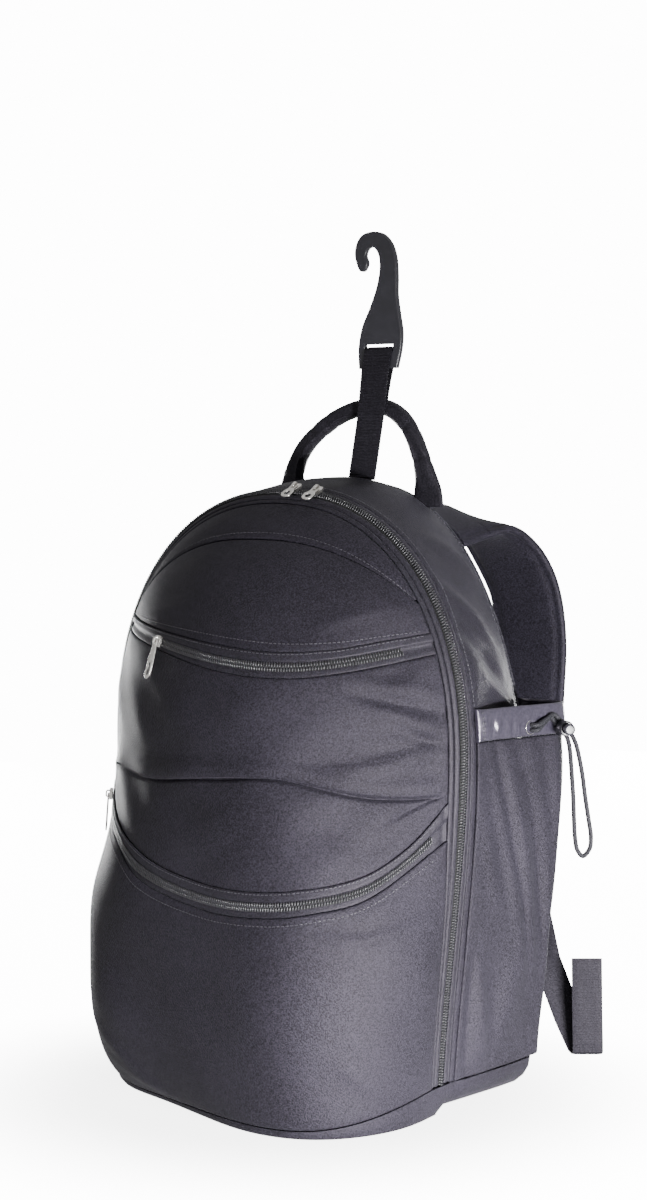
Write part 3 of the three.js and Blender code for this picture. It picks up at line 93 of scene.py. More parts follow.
UPPER_FLAP = np.array([[-1, 0.787], [-0.3, 0.765], [0.29, 0.748], [0.6, 0.752], [0.85, 0.767], [1, 0.776]])
CREASE_DEPTH, CREASE_WIDTH = 5.0, 13.0
ARCH_DROP, ARCH_END, CRESCENT = 0.145, 385.0, 0.975
BASE_TURN_UP = 40
COIL_PLACE = 0.42
TOOTH_PITCH, TOOTH = 2.1, (0.62, 0.95)
POCKET_PLAN = np.array([[0.13, 0.02], [0.3, 0.14], [0.5, 0.37], [0.7, 0.7], [0.86, 0.97], [0.96, 1.0],
                        [0.995, 0.76], [0.995, 0.36], [0.985, 0.03]])
POCKET_ROWS = np.array([[0.08, 0.12], [0.2, 0.2], [0.35, 0.33], [0.59, 0.5], [0.78, 0.74], [1.0, 1.0]])
HANDLE = np.array([[-0.97, 0.0], [-0.985, 0.14], [-0.97, 0.3], [-0.89, 0.48], [-0.76, 0.63], [-0.56, 0.77],
                   [-0.32, 0.89], [-0.05, 0.97], [0.2, 1.0], [0.42, 0.97], [0.6, 0.88], [0.74, 0.74],
                   [0.85, 0.55], [0.93, 0.34], [0.97, 0.16], [0.97, 0.0]])
# Right shoulder strap: across, back, down, width, turn
STRAP = np.array([
    [0.0, 0.2, 0.0, 0.86, -36], [0.01, 0.42, -0.01, 0.92, -24], [0.03, 0.68, 0.015, 0.98, -8],
    [0.06, 0.9, 0.09, 1.0, 0], [0.1, 1.02, 0.2, 1.0, 0], [0.115, 1.07, 0.35, 1.0, 0],
    [0.115, 1.05, 0.52, 0.98, 0], [0.12, 0.99, 0.7, 0.94, 2], [0.135, 0.93, 0.86, 0.84, 4],
    [0.15, 0.9, 0.96, 0.62, 5], [0.155, 0.89, 1.0, 0.46, 0],
])
WEBBING_UP = np.array([[0, 0.6, 0], [-3, 14, 14], [-12, 48, 58]], float)
WEBBING_DOWN = np.array([
    [-31, 101, 76, 12], [-27, 108, 42, 22], [-15, 110.5, 12, 30], [-5, 111.5, -12, 33], [2, 112.5, -26, 33],
    [7, 112, -34.4, 33], [11.5, 110, -36.6, 33], [14, 107.3, -34.4, 33], [14.5, 106.1, -26, 33],
    [14, 105.9, -4, 33], [13, 106.1, 44, 33],
])
CORD_ROUTE = np.array([
    [178.4, 64.4, 290.5], [181.0, 63.4, 290.5], [183.9, 65.1, 290.5], [186.3, 74.9, 294.0],
    [188.0, 85.2, 297.1], [190.0, 87.7, 294.4], [193.5, 91.5, 288.3], [197.1, 95.2, 282.2],
    [200.4, 96.9, 274.9], [202.6, 98.4, 264.9], [204.9, 99.9, 250.3], [206.8, 101.1, 233.4],
    [209.1, 102.6, 215.8], [210.7, 103.6, 202.0], [209.7, 103.0, 192.8], [205.5, 100.3, 187.4],
    [202.0, 98.0, 192.0], [200.4, 96.9, 202.0], [199.7, 96.5, 215.8], [199.1, 96.1, 233.4],
    [198.1, 95.5, 250.3], [197.2, 94.9, 264.1], [196.5, 94.4, 271.8], [194.9, 93.0, 279.6],
    [191.4, 89.3, 285.7], [187.9, 85.5, 291.8], [185.9, 83.0, 294.5], [185.2, 73.7, 290.7],
    [183.9, 65.1, 286.5], [181.0, 63.4, 286.5], [178.4, 64.4, 286.5],
])
HOOK = np.array([
    [-0.42, 0.0], [-0.43, 0.15], [-0.36, 0.3], [-0.19, 0.45], [-0.05, 0.6], [0.01, 0.74], [-0.02, 0.83],
    [-0.11, 0.88], [-0.21, 0.88], [-0.28, 0.83], [-0.24, 0.77], [-0.31, 0.715], [-0.4, 0.715], [-0.48, 0.78],
    [-0.51, 0.85], [-0.46, 0.93], [-0.35, 0.98], [-0.13, 1.0], [0.08, 0.98], [0.25, 0.91], [0.34, 0.81],
    [0.37, 0.67], [0.37, 0.53], [0.42, 0.39], [0.47, 0.26], [0.45, 0.14], [0.37, 0.0],
])


def lerp(a, b, t):
    return a + (b - a) * t


def smooth(t):
    t = np.clip(t, 0, 1)
    return t * t * (3 - 2 * t)


def unit(v):
    return v / (np.linalg.norm(v, axis=-1, keepdims=True) + 1e-12)


# A smooth curve through a table's rows, read at one key
def look_up(keys, values, at):
    keys = np.asarray(keys, float)
    values = np.asarray(values, float)
    t = np.clip(at, keys[0], keys[-1])
    i = np.clip(np.searchsorted(keys, t, side="left") - 1, 0, len(keys) - 2)
    before = np.maximum(np.arange(len(keys)) - 1, 0)
    after = np.minimum(np.arange(len(keys)) + 1, len(keys) - 1)
    slope = (values[after] - values[before]) / (keys[after] - keys[before])
    span = keys[i + 1] - keys[i]
    s = (t - keys[i]) / span
    tangents = s * (1 - s) * span * ((1 - s) * slope[i] - s * slope[i + 1])
    return lerp(values[i], values[i + 1], s * s * (3 - 2 * s)) + tangents


def zip_half(z):
    up = np.clip((z - WIDEST) / (ZIP_TOP - WIDEST), 0, 1)
    high = BODY_HALF * (1 - up**POWER) ** (1 / POWER)
    t = np.clip(z / WIDEST, 0, 1)
    low = lerp(BASE_HALF, BODY_HALF, 0.25 * t + 0.75 * smooth(t))
    return np.where(z > WIDEST, high, low)


def share_out(x, z):
    up = np.maximum(z - WIDEST, 0) / (ZIP_TOP - WIDEST)
    high = ((np.abs(x) / BODY_HALF) ** POWER + up**POWER) ** (1 / POWER)
    return np.where(z <= WIDEST, np.abs(x) / np.maximum(zip_half(z), 1e-6), high)


# How far the bottom edge is rolled in above the floor
def tuck(x, z):
    left = smooth((TUCK_TURN[0] - x) / TUCK_TURN[1])
    depth = TUCK_DEPTH[0] + TUCK_DEPTH[1] * left
    reach = lerp(*TUCK_REACH, left)
    t = np.clip(1 - z / reach, 0, 1)
    return depth * (1 - np.sqrt(1 - t * t))


def crease_height(across):
    return ZIP_TOP * look_up(SAG[:, 0], SAG[:, 1], across)


# The front of the bag over a flat place inside the zip's outline
def front_point(x, z):
    x, z = np.broadcast_arrays(np.asarray(x, float), np.asarray(z, float))
    p = np.clip(x / np.maximum(zip_half(z), 1), -1, 1)
    bulge, power, full, left, right = [look_up(FRONT[:, 0], FRONT[:, c], z / WIDEST) for c in range(1, 6)]
    inside = np.maximum(1 - np.minimum(share_out(x, z), 1) ** power, 0)
    depth = inside**full
    over = BASE_HALF * np.where(x < 0, -left, right) * np.sin(np.pi * depth) * np.sqrt(np.abs(p))
    rolled = tuck(x, z)
    lean = 1 + LEAN_RIGHT * p * (1 - p * p) * (1 - smooth((z - LEAN_FADES[0]) / LEAN_FADES[1]))
    reach = BULGE * bulge * depth * lean * (1 - rolled / BULGE)
    off = np.abs(z - crease_height(p)) / CREASE_WIDTH
    sunk = CREASE_DEPTH * np.exp(-off * 1.4) * smooth(depth * 2) * (0.6 + 0.4 * p)
    return np.stack([(x + over) * (1 - rolled / BASE_HALF), ZIP_PLANE - reach + sunk, z], -1)


def by_length(arch):
    t = np.linspace(0, 1, 241)
    x, z = arch(t)
    s = np.concatenate([[0], np.cumsum(np.hypot(np.diff(x), np.diff(z)))])

    def at(u):
        u = np.asarray(u, float)
        x, z = arch(np.interp(np.minimum(np.abs(u), 1) * s[-1], s, t))
        return np.where(u < 0, -x, x), z

    return at


def half_arch(half_at, half, widest, top, foot):
    turn = 0.6

    def at(t):
        t = np.asarray(t, float)
        low_z = lerp(widest, foot, (t - turn) / (1 - turn))
        angle = np.clip(np.pi / 2 * (1 - t / turn), 0, np.pi / 2)
        c = np.cos(angle)
        s = np.sin(angle)
        r = (c**POWER + s**POWER) ** (-1 / POWER)
        low = t >= turn
        high_z = widest + (top - widest) * r * s
        return np.where(low, half_at(low_z), half * r * c), np.where(low, low_z, high_z)

    return at


def back_half(z):
    up = np.clip((z - BACK_WIDEST) / (BACK_TOP - BACK_WIDEST), 0, 1)
    return BACK_HALF * (1 - up**POWER) ** (1 / POWER)


zip_outline = by_length(half_arch(zip_half, BODY_HALF, WIDEST, ZIP_TOP, ZIP_END))
back_outline = by_length(half_arch(back_half, BACK_HALF, BACK_WIDEST, BACK_TOP, REAR_HEM))


def zip_point(t):
    return front_point(*zip_outline(t))


def in_from_zip(t, distance):
    x, z = zip_outline(t)
    spine = np.minimum(z, WIDEST)
    edge = zip_point(t)
    near = np.full(np.shape(x), 0.4)
    far = np.ones(np.shape(x))
    for _ in range(32):
        share = (near + far) / 2
        gone = np.linalg.norm(front_point(x * share, lerp(spine, z, share)) - edge, axis=-1)
        past = gone > distance
        near = np.where(past, share, near)
        far = np.where(past, far, share)
    return x * far, lerp(spine, z, far)


PANEL_EDGE = COIL_WIDTH / 2 + FRONT_TAPE + 2 * SEAM_GAP


def edge_table(side):
    x, z = in_from_zip(side * lerp(1, 0.02, np.linspace(0, 1, 121)), PANEL_EDGE)
    order = np.argsort(z)
    return z[order], np.abs(x)[order]


EDGES = {side: edge_table(side) for side in (-1, 1)}


def edge_half(across, z):
    left = np.interp(z, *EDGES[-1])
    right = np.interp(z, *EDGES[1])
    return np.where(across < 0, left, right)


def on_front(across, z):
    return front_point(across * edge_half(across, z), z)


def seam(rows, offset=0.0):
    return lambda across: ZIP_TOP * look_up(rows[:, 0], rows[:, 1], across) + offset


def bottom_edge(across):
    return lerp(FRONT_HEM, ZIP_END, np.abs(across) ** 8) + SEAM_GAP


def arch_span():
    low, high = 0.0, 1.0
    for _ in range(32):
        t = (low + high) / 2
        if in_from_zip(np.array(t), PANEL_EDGE)[1] > ARCH_END:
            low = t
        else:
            high = t
    return low


ARCH_SPAN = arch_span()


def arch_place(t, drop):
    x, z = in_from_zip(t * ARCH_SPAN, PANEL_EDGE)
    share = 1 - drop * (1 - t * t)
    return x * share, lerp(WIDEST, z, share)


def gusset_point(t, y):
    t, y = np.broadcast_arrays(np.asarray(t, float), np.asarray(y, float))
    share = (y - ZIP_PLANE) / GUSSET_DEPTH
    front = zip_point(t)
    x, z = back_outline(t)
    a = zip_outline(np.maximum(t - 0.004, -1))
    b = zip_outline(np.minimum(t + 0.004, 1))
    out = unit(np.stack([a[1] - b[1], np.zeros_like(a[1]), b[0] - a[0]], -1))
    swell = GUSSET_SWELL * np.sin(np.pi * np.clip(share, 0, 1)) * (0.3 + 0.7 * smooth(front[..., 2] / 120))
    at = np.stack([lerp(front[..., 0], x, share), y, lerp(front[..., 2], z, share)], -1)
    return at + out * swell[..., None]


def gusset_side_x(side, y, z):
    y, z = np.broadcast_arrays(np.asarray(y, float), np.asarray(z, float))
    low = np.full(y.shape, 0.3)
    high = np.ones(y.shape)
    for _ in range(20):
        t = (low + high) / 2
        above = gusset_point(side * t, y)[..., 2] > z
        low = np.where(above, t, low)
        high = np.where(above, high, t)
    return gusset_point(side * low, y)[..., 0]


PLAN_LAST = len(POCKET_PLAN) - 1


def pocket_depth(share):
    return look_up(np.arange(PLAN_LAST + 1), POCKET_PLAN[:, 0], share * PLAN_LAST)


def pocket_point(side, share, z):
    share, z = np.broadcast_arrays(np.asarray(share, float), np.asarray(z, float))
    depth = pocket_depth(share)
    reach = look_up(np.arange(PLAN_LAST + 1), POCKET_PLAN[:, 1], share * PLAN_LAST)
    up = np.clip(z / POCKET_TOP, 0, 1)
    open_by = look_up(POCKET_ROWS[:, 0], POCKET_ROWS[:, 1], up) * POCKET_REACH
    y = ZIP_PLANE + depth * GUSSET_DEPTH
    wall = gusset_side_x(side, y, z)
    ripple = 0.5 + 0.5 * np.sin(share * 22 + up * 2.5)
    folds = POCKET_FOLD * ripple * up * (1 - up) * 4 * np.sin(np.pi * share)
    return np.stack([wall + side * (reach * open_by + folds + FABRIC + SEAM_GAP), y, z], -1)


def back_puff(x, z):
    side = 1 - np.minimum(np.abs(x) / np.maximum(back_half(z), 1), 1) ** 4
    up = (z - REAR_HEM) / (BACK_TOP - REAR_HEM)
    ends = np.minimum(1, 6 * up) * np.minimum(1, 5 * (1 - up))
    channel = smooth(2 * np.abs(x) / SPINE_CHANNEL)
    return BACK_EDGE + BACK_PADDING * side * smooth(ends) * lerp(0.45, 1, channel)


# A new material, its node tree and its surface
def shader(name):
    material = bpy.data.materials.new(name)
    material.use_nodes = True
    return material, material.node_tree, material.node_tree.nodes["Principled BSDF"]


# A node with its settings, and with the sources of its linked inputs
def new_node(tree, kind, sources=(), **values):
    node = tree.nodes.new(kind)
    for key, value in values.items():
        if hasattr(node, key):
            setattr(node, key, value)
        else:
            node.inputs[key.replace("_", " ")].default_value = value
    for key, source in sources:
        tree.links.new(source, node.inputs[key])
    return node.outputs


def ramp(tree, source, low, high, dark, light):
    outputs = new_node(tree, "ShaderNodeValToRGB", [("Fac", source)])
    elements = outputs["Color"].node.color_ramp.elements
    for element, position, color in ((elements[0], low, dark), (elements[1], high, light)):
        element.position = position
        element.color = (*color, 1)
    return outputs["Color"]


def finish_surface(tree, surface, color, rough_by, rough_range, height, strength, depth, **values):
    low, high = rough_range
    rough = new_node(tree, "ShaderNodeMapRange", [("Value", rough_by)], To_Min=low, To_Max=high)
    bump = new_node(tree, "ShaderNodeBump", [("Height", height)], Strength=strength, Distance=depth)
    tree.links.new(color, surface.inputs["Base Color"])
    tree.links.new(rough["Result"], surface.inputs["Roughness"])
    tree.links.new(bump["Normal"], surface.inputs["Normal"])
    for key, value in values.items():
        surface.inputs[key.replace("_", " ")].default_value = value


# Cloth whose weave is two crossed rows of threads, broken up by a fine grain
def cloth_material(
    name, dark, light, roughness, sheen, pitch, grain, depth, turn=45.0, gloss=0.12, weave=0.5
):
    material, tree, surface = shader(name)
    place = new_node(tree, "ShaderNodeTexCoord")
    angle = (0, 0, math.radians(turn))
    turned = new_node(tree, "ShaderNodeMapping", [("Vector", place["UV"])], Rotation=angle)
    rows, crossed = [
        new_node(
            tree, "ShaderNodeTexWave", [("Vector", turned["Vector"])],
            bands_direction=way, Scale=WAVE_LENGTH / pitch, Distortion=1.6, Detail=2.0,
        )
        for way in "XY"
    ]
    both = new_node(tree, "ShaderNodeMath", [(0, rows["Fac"]), (1, crossed["Fac"])], operation="MAXIMUM")
    spot = [("Vector", place["Object"])]
    fine = new_node(tree, "ShaderNodeTexNoise", spot, Scale=1 / grain, Detail=2.0, Roughness=0.7)["Fac"]
    broad = new_node(tree, "ShaderNodeTexNoise", spot, Scale=11.0, Detail=3.0, Roughness=0.5)["Fac"]
    mixed = []
    for source, share in ((both["Value"], weave), (broad, BROAD_SHARE)):
        added = new_node(tree, "ShaderNodeMath", [(0, source), (2, fine)], operation="MULTIPLY_ADD")["Value"]
        added.node.inputs[1].default_value = share
        mixed.append(added)
    finish_surface(
        tree, surface, ramp(tree, mixed[1], 0.49, 0.77, dark, light), broad,
        (roughness - 0.07, roughness + 0.07), mixed[0], 1.0, depth,
        Specular_IOR_Level=gloss, Specular_Tint=(0.95, 0.88, 1.0, 1),
        Sheen_Weight=sheen, Sheen_Roughness=0.45, Sheen_Tint=(0.86, 0.84, 1.0, 1),
    )
    return material


def hard_material(name, dark, light, roughness, metallic, grain, depth):
    material, tree, surface = shader(name)
    spot = [("Vector", new_node(tree, "ShaderNodeTexCoord")["Object"])]
    fine = new_node(tree, "ShaderNodeTexNoise", spot, Scale=1 / grain, Detail=4.0, Roughness=0.6)["Fac"]
    finish_surface(
        tree, surface, ramp(tree, fine, 0.35, 0.7, dark, light), fine, (roughness * 0.7, roughness * 1.35),
        fine, 0.5, depth, Metallic=metallic,
    )
    return material


# A wave texture's scale times its thread pitch in metres, and the broad noise's share of the tone
WAVE_LENGTH = 0.314
BROAD_SHARE = 0.25
# Dark and light colour, roughness, sheen, thread pitch, grain and bump depth in metres, and what differs
CLOTHS = {
    "twill": ((0.0045, 0.004, 0.0056), (0.0235, 0.021, 0.0292), 0.53, 0.03, 0.0019, 0.0012, 0.0006,
              {"gloss": 0.15, "weave": 0.12}),
    "satin": ((0.018, 0.016, 0.024), (0.036, 0.032, 0.046), 0.3, 0.04, 0.0009, 0.002, 0.00008,
              {"gloss": 0.7, "weave": 0.1}),
    "zip_tape": ((0.005, 0.0044, 0.006), (0.024, 0.022, 0.029), 0.5, 0.04, 0.0013, 0.0011, 0.0003,
                 {"gloss": 0.16, "weave": 0.15}),
    "mesh": ((0.008, 0.0077, 0.01), (0.034, 0.033, 0.04), 0.75, 0.06, 0.0034, 0.003, 0.0009, {"weave": 1.0}),
    "webbing": ((0.0055, 0.005, 0.0066), (0.02, 0.0185, 0.024), 0.52, 0.03, 0.0014, 0.001, 0.0002,
                {"turn": 0, "weave": 0.2}),
    "strap_cloth": ((0.0045, 0.0041, 0.0057), (0.02, 0.018, 0.026), 0.5, 0.03, 0.0019, 0.0012, 0.0004,
                    {"weave": 0.15}),
    "cord": ((0.006, 0.006, 0.007), (0.032, 0.032, 0.036), 0.55, 0.03, 0.0016, 0.0009, 0.0003,
             {"gloss": 0.15, "weave": 0.3}),
}
# Dark and light colour, roughness, metallic, grain and bump depth in metres
HARD = {
    "zip_coil": ((0.016, 0.0155, 0.018), (0.04, 0.039, 0.044), 0.3, 0.0, 0.0015, 0.00004),
    "thread": ((0.02, 0.0185, 0.024), (0.06, 0.056, 0.07), 0.4, 0.0, 0.001, 0.00003),
    # The next entry is near-black, painted shade for the gaps under and between a zip's teeth
    "zip_painted_shade": ((0.002, 0.002, 0.0022), (0.004, 0.004, 0.0045), 0.8, 0.0, 0.0015, 0.00004),
    "plastic": ((0.017, 0.0162, 0.0215), (0.023, 0.022, 0.029), 0.33, 0.0, 0.012, 0.00003),
    "nickel": ((0.6, 0.58, 0.55), (0.78, 0.76, 0.73), 0.24, 1.0, 0.003, 0.00004),
}
LOOKS = {name: cloth_material(name, *row[:-1], **row[-1]) for name, row in CLOTHS.items()}
LOOKS.update({name: hard_material(name, *row) for name, row in HARD.items()})


# Meshes
def add_object(name, data):
    piece = bpy.data.objects.new(name, data)
    bpy.context.scene.collection.objects.link(piece)
    return piece


def smooth_mesh(mesh, look, sharp):
    mesh.materials.clear()
    mesh.materials.append(LOOKS[look])
    mesh.shade_smooth()
    mesh.set_sharp_from_angle(angle=math.radians(sharp))


def make_object(name, points, faces, slot, uv, sharp=40.0, look=None):
    mesh = bpy.data.meshes.new(name)
    mesh.from_pydata((np.asarray(points) * MM).tolist(), [], faces)
    mesh.validate()
    layer = mesh.uv_layers.new(name="UVMap")
    loops = np.empty(len(mesh.loops), dtype=np.int32)
    mesh.loops.foreach_get("vertex_index", loops)
    layer.data.foreach_set("uv", (np.asarray(uv)[loops] * MM).astype(np.float32).ravel())
    smooth_mesh(mesh, look or slot, sharp)
    piece = add_object(name, mesh)
    return piece


def fit(piece, node, body="root"):
    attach(piece, body)
    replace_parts(piece, node)


def grid_normals(points):
    n = unit(np.cross(np.gradient(points, axis=1), np.gradient(points, axis=0)))
    j, i = points.shape[0] // 2, points.shape[1] // 2
    if np.dot(n[j, i], points[j, i] - MIDDLE) < 0:
        n = -n
    return n


# Faces of a shell: an outer and an inner grid of points, joined round their rim
def shell_faces(rows, columns):
    count = rows * columns
    index = np.arange(count).reshape(rows, columns)
    front = np.stack([index[:-1, :-1], index[:-1, 1:], index[1:, 1:], index[1:, :-1]], -1).reshape(-1, 4)
    rim = np.concatenate([index[0, :-1], index[:-1, -1], index[-1, :0:-1], index[:0:-1, 0]])
    after = np.roll(rim, -1)
    sides = np.stack([rim, rim + count, after + count, after], -1)
    return np.concatenate([front, front[:, ::-1] + count, sides])


def lengths(points, axis):
    step = np.linalg.norm(np.diff(points, axis=axis), axis=-1)
    pad = [(0, 0), (0, 0)]
    pad[axis] = (1, 0)
    return np.cumsum(np.pad(step, pad), axis=axis)


EDGE_STEPS = np.array([0, 0.12, 0.35, 0.65])


def fine_steps(count, edge=0.012):
    near = EDGE_STEPS * edge
    return np.concatenate([near, np.linspace(edge, 1 - edge, count), 1 - near[::-1]])


class Sheet:
    """Cloth on a surface: its outer grid, each point's distances from the edges, and its flat size"""

    def __init__(self, point_at, us, vs, sunk=0.0):
        self.u, self.v = np.meshgrid(us, vs)
        base = point_at(self.u, self.v)
        normal = grid_normals(base)
        self.base = base - normal * sunk
        self.normal = normal
        along = lengths(base, 1)
        up = lengths(base, 0)
        self.size = (float(along[:, -1].max()), float(up[-1].max()))
        self.from_left = along
        self.from_right = along[:, -1:] - along
        self.from_foot = up
        sideways = np.minimum(self.from_left, self.from_right)
        self.edge = np.minimum(sideways, np.minimum(up, up[-1:] - up))
        self.uv = np.stack([along - along[:, -1:] / 2, up], -1)
        step_u = np.linalg.norm(np.diff(base, axis=1), axis=-1)
        step_v = np.linalg.norm(np.diff(base, axis=0), axis=-1)
        self.area = float((((step_u[1:] + step_u[:-1]) / 2) * ((step_v[:, 1:] + step_v[:, :-1]) / 2)).sum())
        self.relief = np.zeros(self.u.shape)
        self.shift = np.zeros(base.shape)

    def outer(self):
        return self.base + self.normal * self.relief[..., None] + self.shift

    def build(self, name, slot, node, thickness=FABRIC, roll=0.9, roll_width=2.2):
        middle = self.outer()
        normal = grid_normals(middle)
        t = np.clip(1 - self.edge / roll_width, 0, 1)
        outer = middle - normal * (roll * (1 - np.sqrt(1 - t * t)))[..., None]
        inner = middle - normal * thickness
        faces = shell_faces(*self.u.shape)
        points = np.concatenate([outer.reshape(-1, 3), inner.reshape(-1, 3)])
        facing = np.cross(outer[1, 0] - outer[0, 0], outer[0, 1] - outer[0, 0])
        if np.dot(facing, normal[0, 0]) > 0:
            faces = faces[:, ::-1]
        uv = np.concatenate([self.uv.reshape(-1, 2)] * 2)
        piece = make_object(name, points, faces.tolist(), slot, uv)
        fit(piece, node)


# Folds across a sheet: each line's two ends, as shares of the sheet, its width and how high it stands
def fold(sheet, *rows):
    size = np.array(sheet.size)
    at = np.stack([sheet.u * size[0], sheet.v * size[1]], -1)
    for start, end, width, height in rows:
        a = np.array(start, float) * size
        run = np.array(end, float) * size - a
        t = np.clip(((at - a) @ run) / (run @ run), 0, 1)
        off = np.linalg.norm(at - a - t[..., None] * run, axis=-1)
        along = 0.25 + 0.75 * np.sin(np.pi * np.clip(t, 0.02, 0.98))
        sheet.relief += height * np.exp(-((off / width) ** 2)) * along


# Soft uneven cloth: a few long waves that die away at the edges
def soften(sheet, height, count=9, shortest=38.0):
    calm = smooth(sheet.edge / 16)
    for _ in range(count):
        angle = rng.uniform(0, np.pi)
        length = rng.uniform(shortest, 3.2 * shortest)
        phase = rng.uniform(0, 2 * np.pi)
        at = sheet.uv[..., 0] * np.cos(angle) + sheet.uv[..., 1] * np.sin(angle)
        sheet.relief += height / count**0.5 * np.sin(2 * np.pi * at / length + phase) * calm


def puff(sheet, height, width=14.0):
    sheet.relief += height * (1 - np.exp(-sheet.edge / width))


# A small bar's ends, as shares of its half length and half thickness, and the sides of its section
BAR_ENDS = np.array([[-1, 0.35], [-0.8, 1], [0.8, 1], [1, 0.35]])
BAR_SIDES = 6


# Small bars laid along lines: teeth and stitches. Each has a middle, an axis, an up and its half sizes.
def bars(middle, axis, up, half_length, half_width, half_height):
    axis = unit(axis)
    up = unit(up - axis * np.sum(up * axis, -1, keepdims=True))
    across = np.cross(axis, up)
    angle = 2 * np.pi * (np.arange(BAR_SIDES) + 0.5) / BAR_SIDES
    long = BAR_ENDS[:, 0] * half_length
    high = BAR_ENDS[:, 1, None] * np.cos(angle) * half_height
    wide = BAR_ENDS[:, 1, None] * np.sin(angle) * half_width
    points = (
        middle[:, None, None]
        + axis[:, None, None] * long[None, :, None, None]
        + up[:, None, None] * high[None, ..., None]
        + across[:, None, None] * wide[None, ..., None]
    )
    index = np.arange(4 * BAR_SIDES).reshape(4, BAR_SIDES)
    after = np.roll(index, -1, axis=1)
    quads = np.stack([index[:-1], after[:-1], after[1:], index[1:]], -1).reshape(-1, 4)
    start = np.arange(len(middle))[:, None, None] * 4 * BAR_SIDES
    faces = (quads[None] + start).reshape(-1, 4).tolist()
    for first in start.ravel():
        faces.append((first + index[0, ::-1]).tolist())
        faces.append((first + index[3]).tolist())
    return points.reshape(-1, 3), faces


class Batch:
    """Points and faces of many small shapes that make one piece"""

    def __init__(self):
        self.points = []
        self.faces = []
        self.count = 0

    def add(self, points, faces):
        self.faces += [[i + self.count for i in face] for face in faces]
        self.points.append(points)
        self.count += len(points)

    def build(self, name, slot, sharp=60.0, look=None):
        points = np.concatenate(self.points)
        piece = make_object(name, points, self.faces, slot, points[:, [0, 2]], sharp, look)
        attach(piece, "root")
        return piece


stitching = Batch()


# Places a set distance apart along a line of points
def evenly(line, pitch, *others):
    s = np.concatenate([[0], np.cumsum(np.linalg.norm(np.diff(line, axis=0), axis=-1))])
    count = max(int(s[-1] / pitch), 2)
    want = (np.arange(count) + 0.5) * s[-1] / count
    return [np.stack([np.interp(want, s, o[:, c]) for c in range(o.shape[1])], -1) for o in (line, *others)]


STITCH_PITCH, STITCH_LENGTH, STITCH_RADIUS = 3.4, 1.15, 0.32


# A row of stitches along one row or one column of a sheet, short of its ends by some points
def stitch_row(sheet, row=None, column=None, lift=0.12, short=8):
    cut = (row, slice(short, -short)) if column is None else (slice(short, -short), column)
    points = sheet.outer()
    at, out = evenly(points[cut], STITCH_PITCH, grid_normals(points)[cut])
    axis = np.gradient(at, axis=0)
    stitching.add(*bars(at + unit(out) * lift, axis, out, STITCH_LENGTH, STITCH_RADIUS, STITCH_RADIUS))


# Front panels
def band(lower, upper):
    def at(u, v):
        across = 2 * u - 1
        return on_front(across, lerp(lower(across), upper(across), v))

    return at


def side_steps(count):
    u = fine_steps(count)
    return 0.5 + 0.5 * lerp(2 * u - 1, np.sin(np.pi / 2 * (2 * u - 1)), 0.6)


lower = Sheet(band(bottom_edge, seam(LOWER_TAPE, -SEAM_GAP)), side_steps(190), fine_steps(110, 0.02))
puff(lower, 1.2)
soften(lower, 0.7)
fold(
    lower,
    ((0.84, 0.9), (0.99, 0.72), 5, 1.6),
    ((0.05, 0.25), (0.3, 0.08), 9, 2.0),
    ((0.9, 0.3), (0.97, 0.06), 6, 1.6),
    ((0.1, 0.12), (0.4, 0.03), 7, 1.8),
    ((0.62, 0.6), (0.9, 0.35), 26, 1.6),
)
stitch_row(lower, row=-7)
lower.build("lower_panel_cloth", "twill", "lower_panel")


def middle_surface(u, v):
    across = 2 * u - 1
    crease = crease_height(across)
    low = lerp(seam(FLAP, SEAM_GAP)(across), crease, 2 * v)
    high = lerp(crease, seam(UPPER_TAPE, -SEAM_GAP)(across), 2 * v - 1)
    return on_front(across, np.where(v < 0.5, low, high))


middle_rows = np.concatenate([
    EDGE_STEPS * 0.02, np.linspace(0.02, 0.44, 46), np.linspace(0.445, 0.555, 40),
    np.linspace(0.56, 0.98, 56), 1 - EDGE_STEPS[::-1] * 0.02,
])
middle = Sheet(middle_surface, side_steps(190), middle_rows)
puff(middle, 1.2)
soften(middle, 0.8)
above = middle.base[..., 2] - crease_height(2 * middle.u - 1)
reach = smooth(middle.edge / 20) * smooth((middle.u - 0.08) / 0.2)
middle.relief -= 2.4 * np.exp(-(((above + 1.5) / 2.2) ** 2)) * reach
middle.relief += 2.2 * np.exp(-(((above - 6) / 6.5) ** 2)) * reach
middle.shift[..., 2] -= 2.6 * np.exp(-(((above - 3.0) / 4.0) ** 2)) * reach
fold(
    middle,
    ((0.83, 0.97), (1.0, 0.86), 5, 1.8),
    ((0.84, 0.91), (1.0, 0.79), 4, -2.2),
    ((0.88, 0.85), (1.0, 0.72), 5, 2.0),
    ((0.91, 0.75), (1.0, 0.67), 3.5, -1.8),
    ((0.8, 0.58), (0.99, 0.65), 6, 2.2),
    ((0.87, 0.66), (0.99, 0.7), 4, -1.4),
    ((0.9, 0.3), (0.99, 0.44), 4, -1.4),
    ((0.05, 0.85), (0.3, 0.6), 14, 1.8),
    ((0.3, 0.75), (0.6, 0.62), 18, 1.2),
    ((0.02, 0.4), (0.14, 0.55), 8, 1.2),
)
middle.build("middle_panel_cloth", "twill", "middle_panel")


def upper_surface(u, v):
    across = 2 * u - 1
    z = seam(UPPER_FLAP, SEAM_GAP)(across)
    head_x, head_z = arch_place(across, ARCH_DROP)
    height = lerp(z, head_z, v)
    return on_front(lerp(across, head_x / edge_half(across, head_z), v), height)


upper = Sheet(upper_surface, side_steps(150), fine_steps(60, 0.03))
puff(upper, 1.0)
soften(upper, 0.8, shortest=46)
fold(upper, ((0.12, 0.1), (0.4, 0.35), 12, 1.4), ((0.72, 0.2), (0.9, 0.5), 9, 1.2))
stitch_row(upper, row=7)
upper.build("upper_panel_cloth", "twill", "upper_panel")


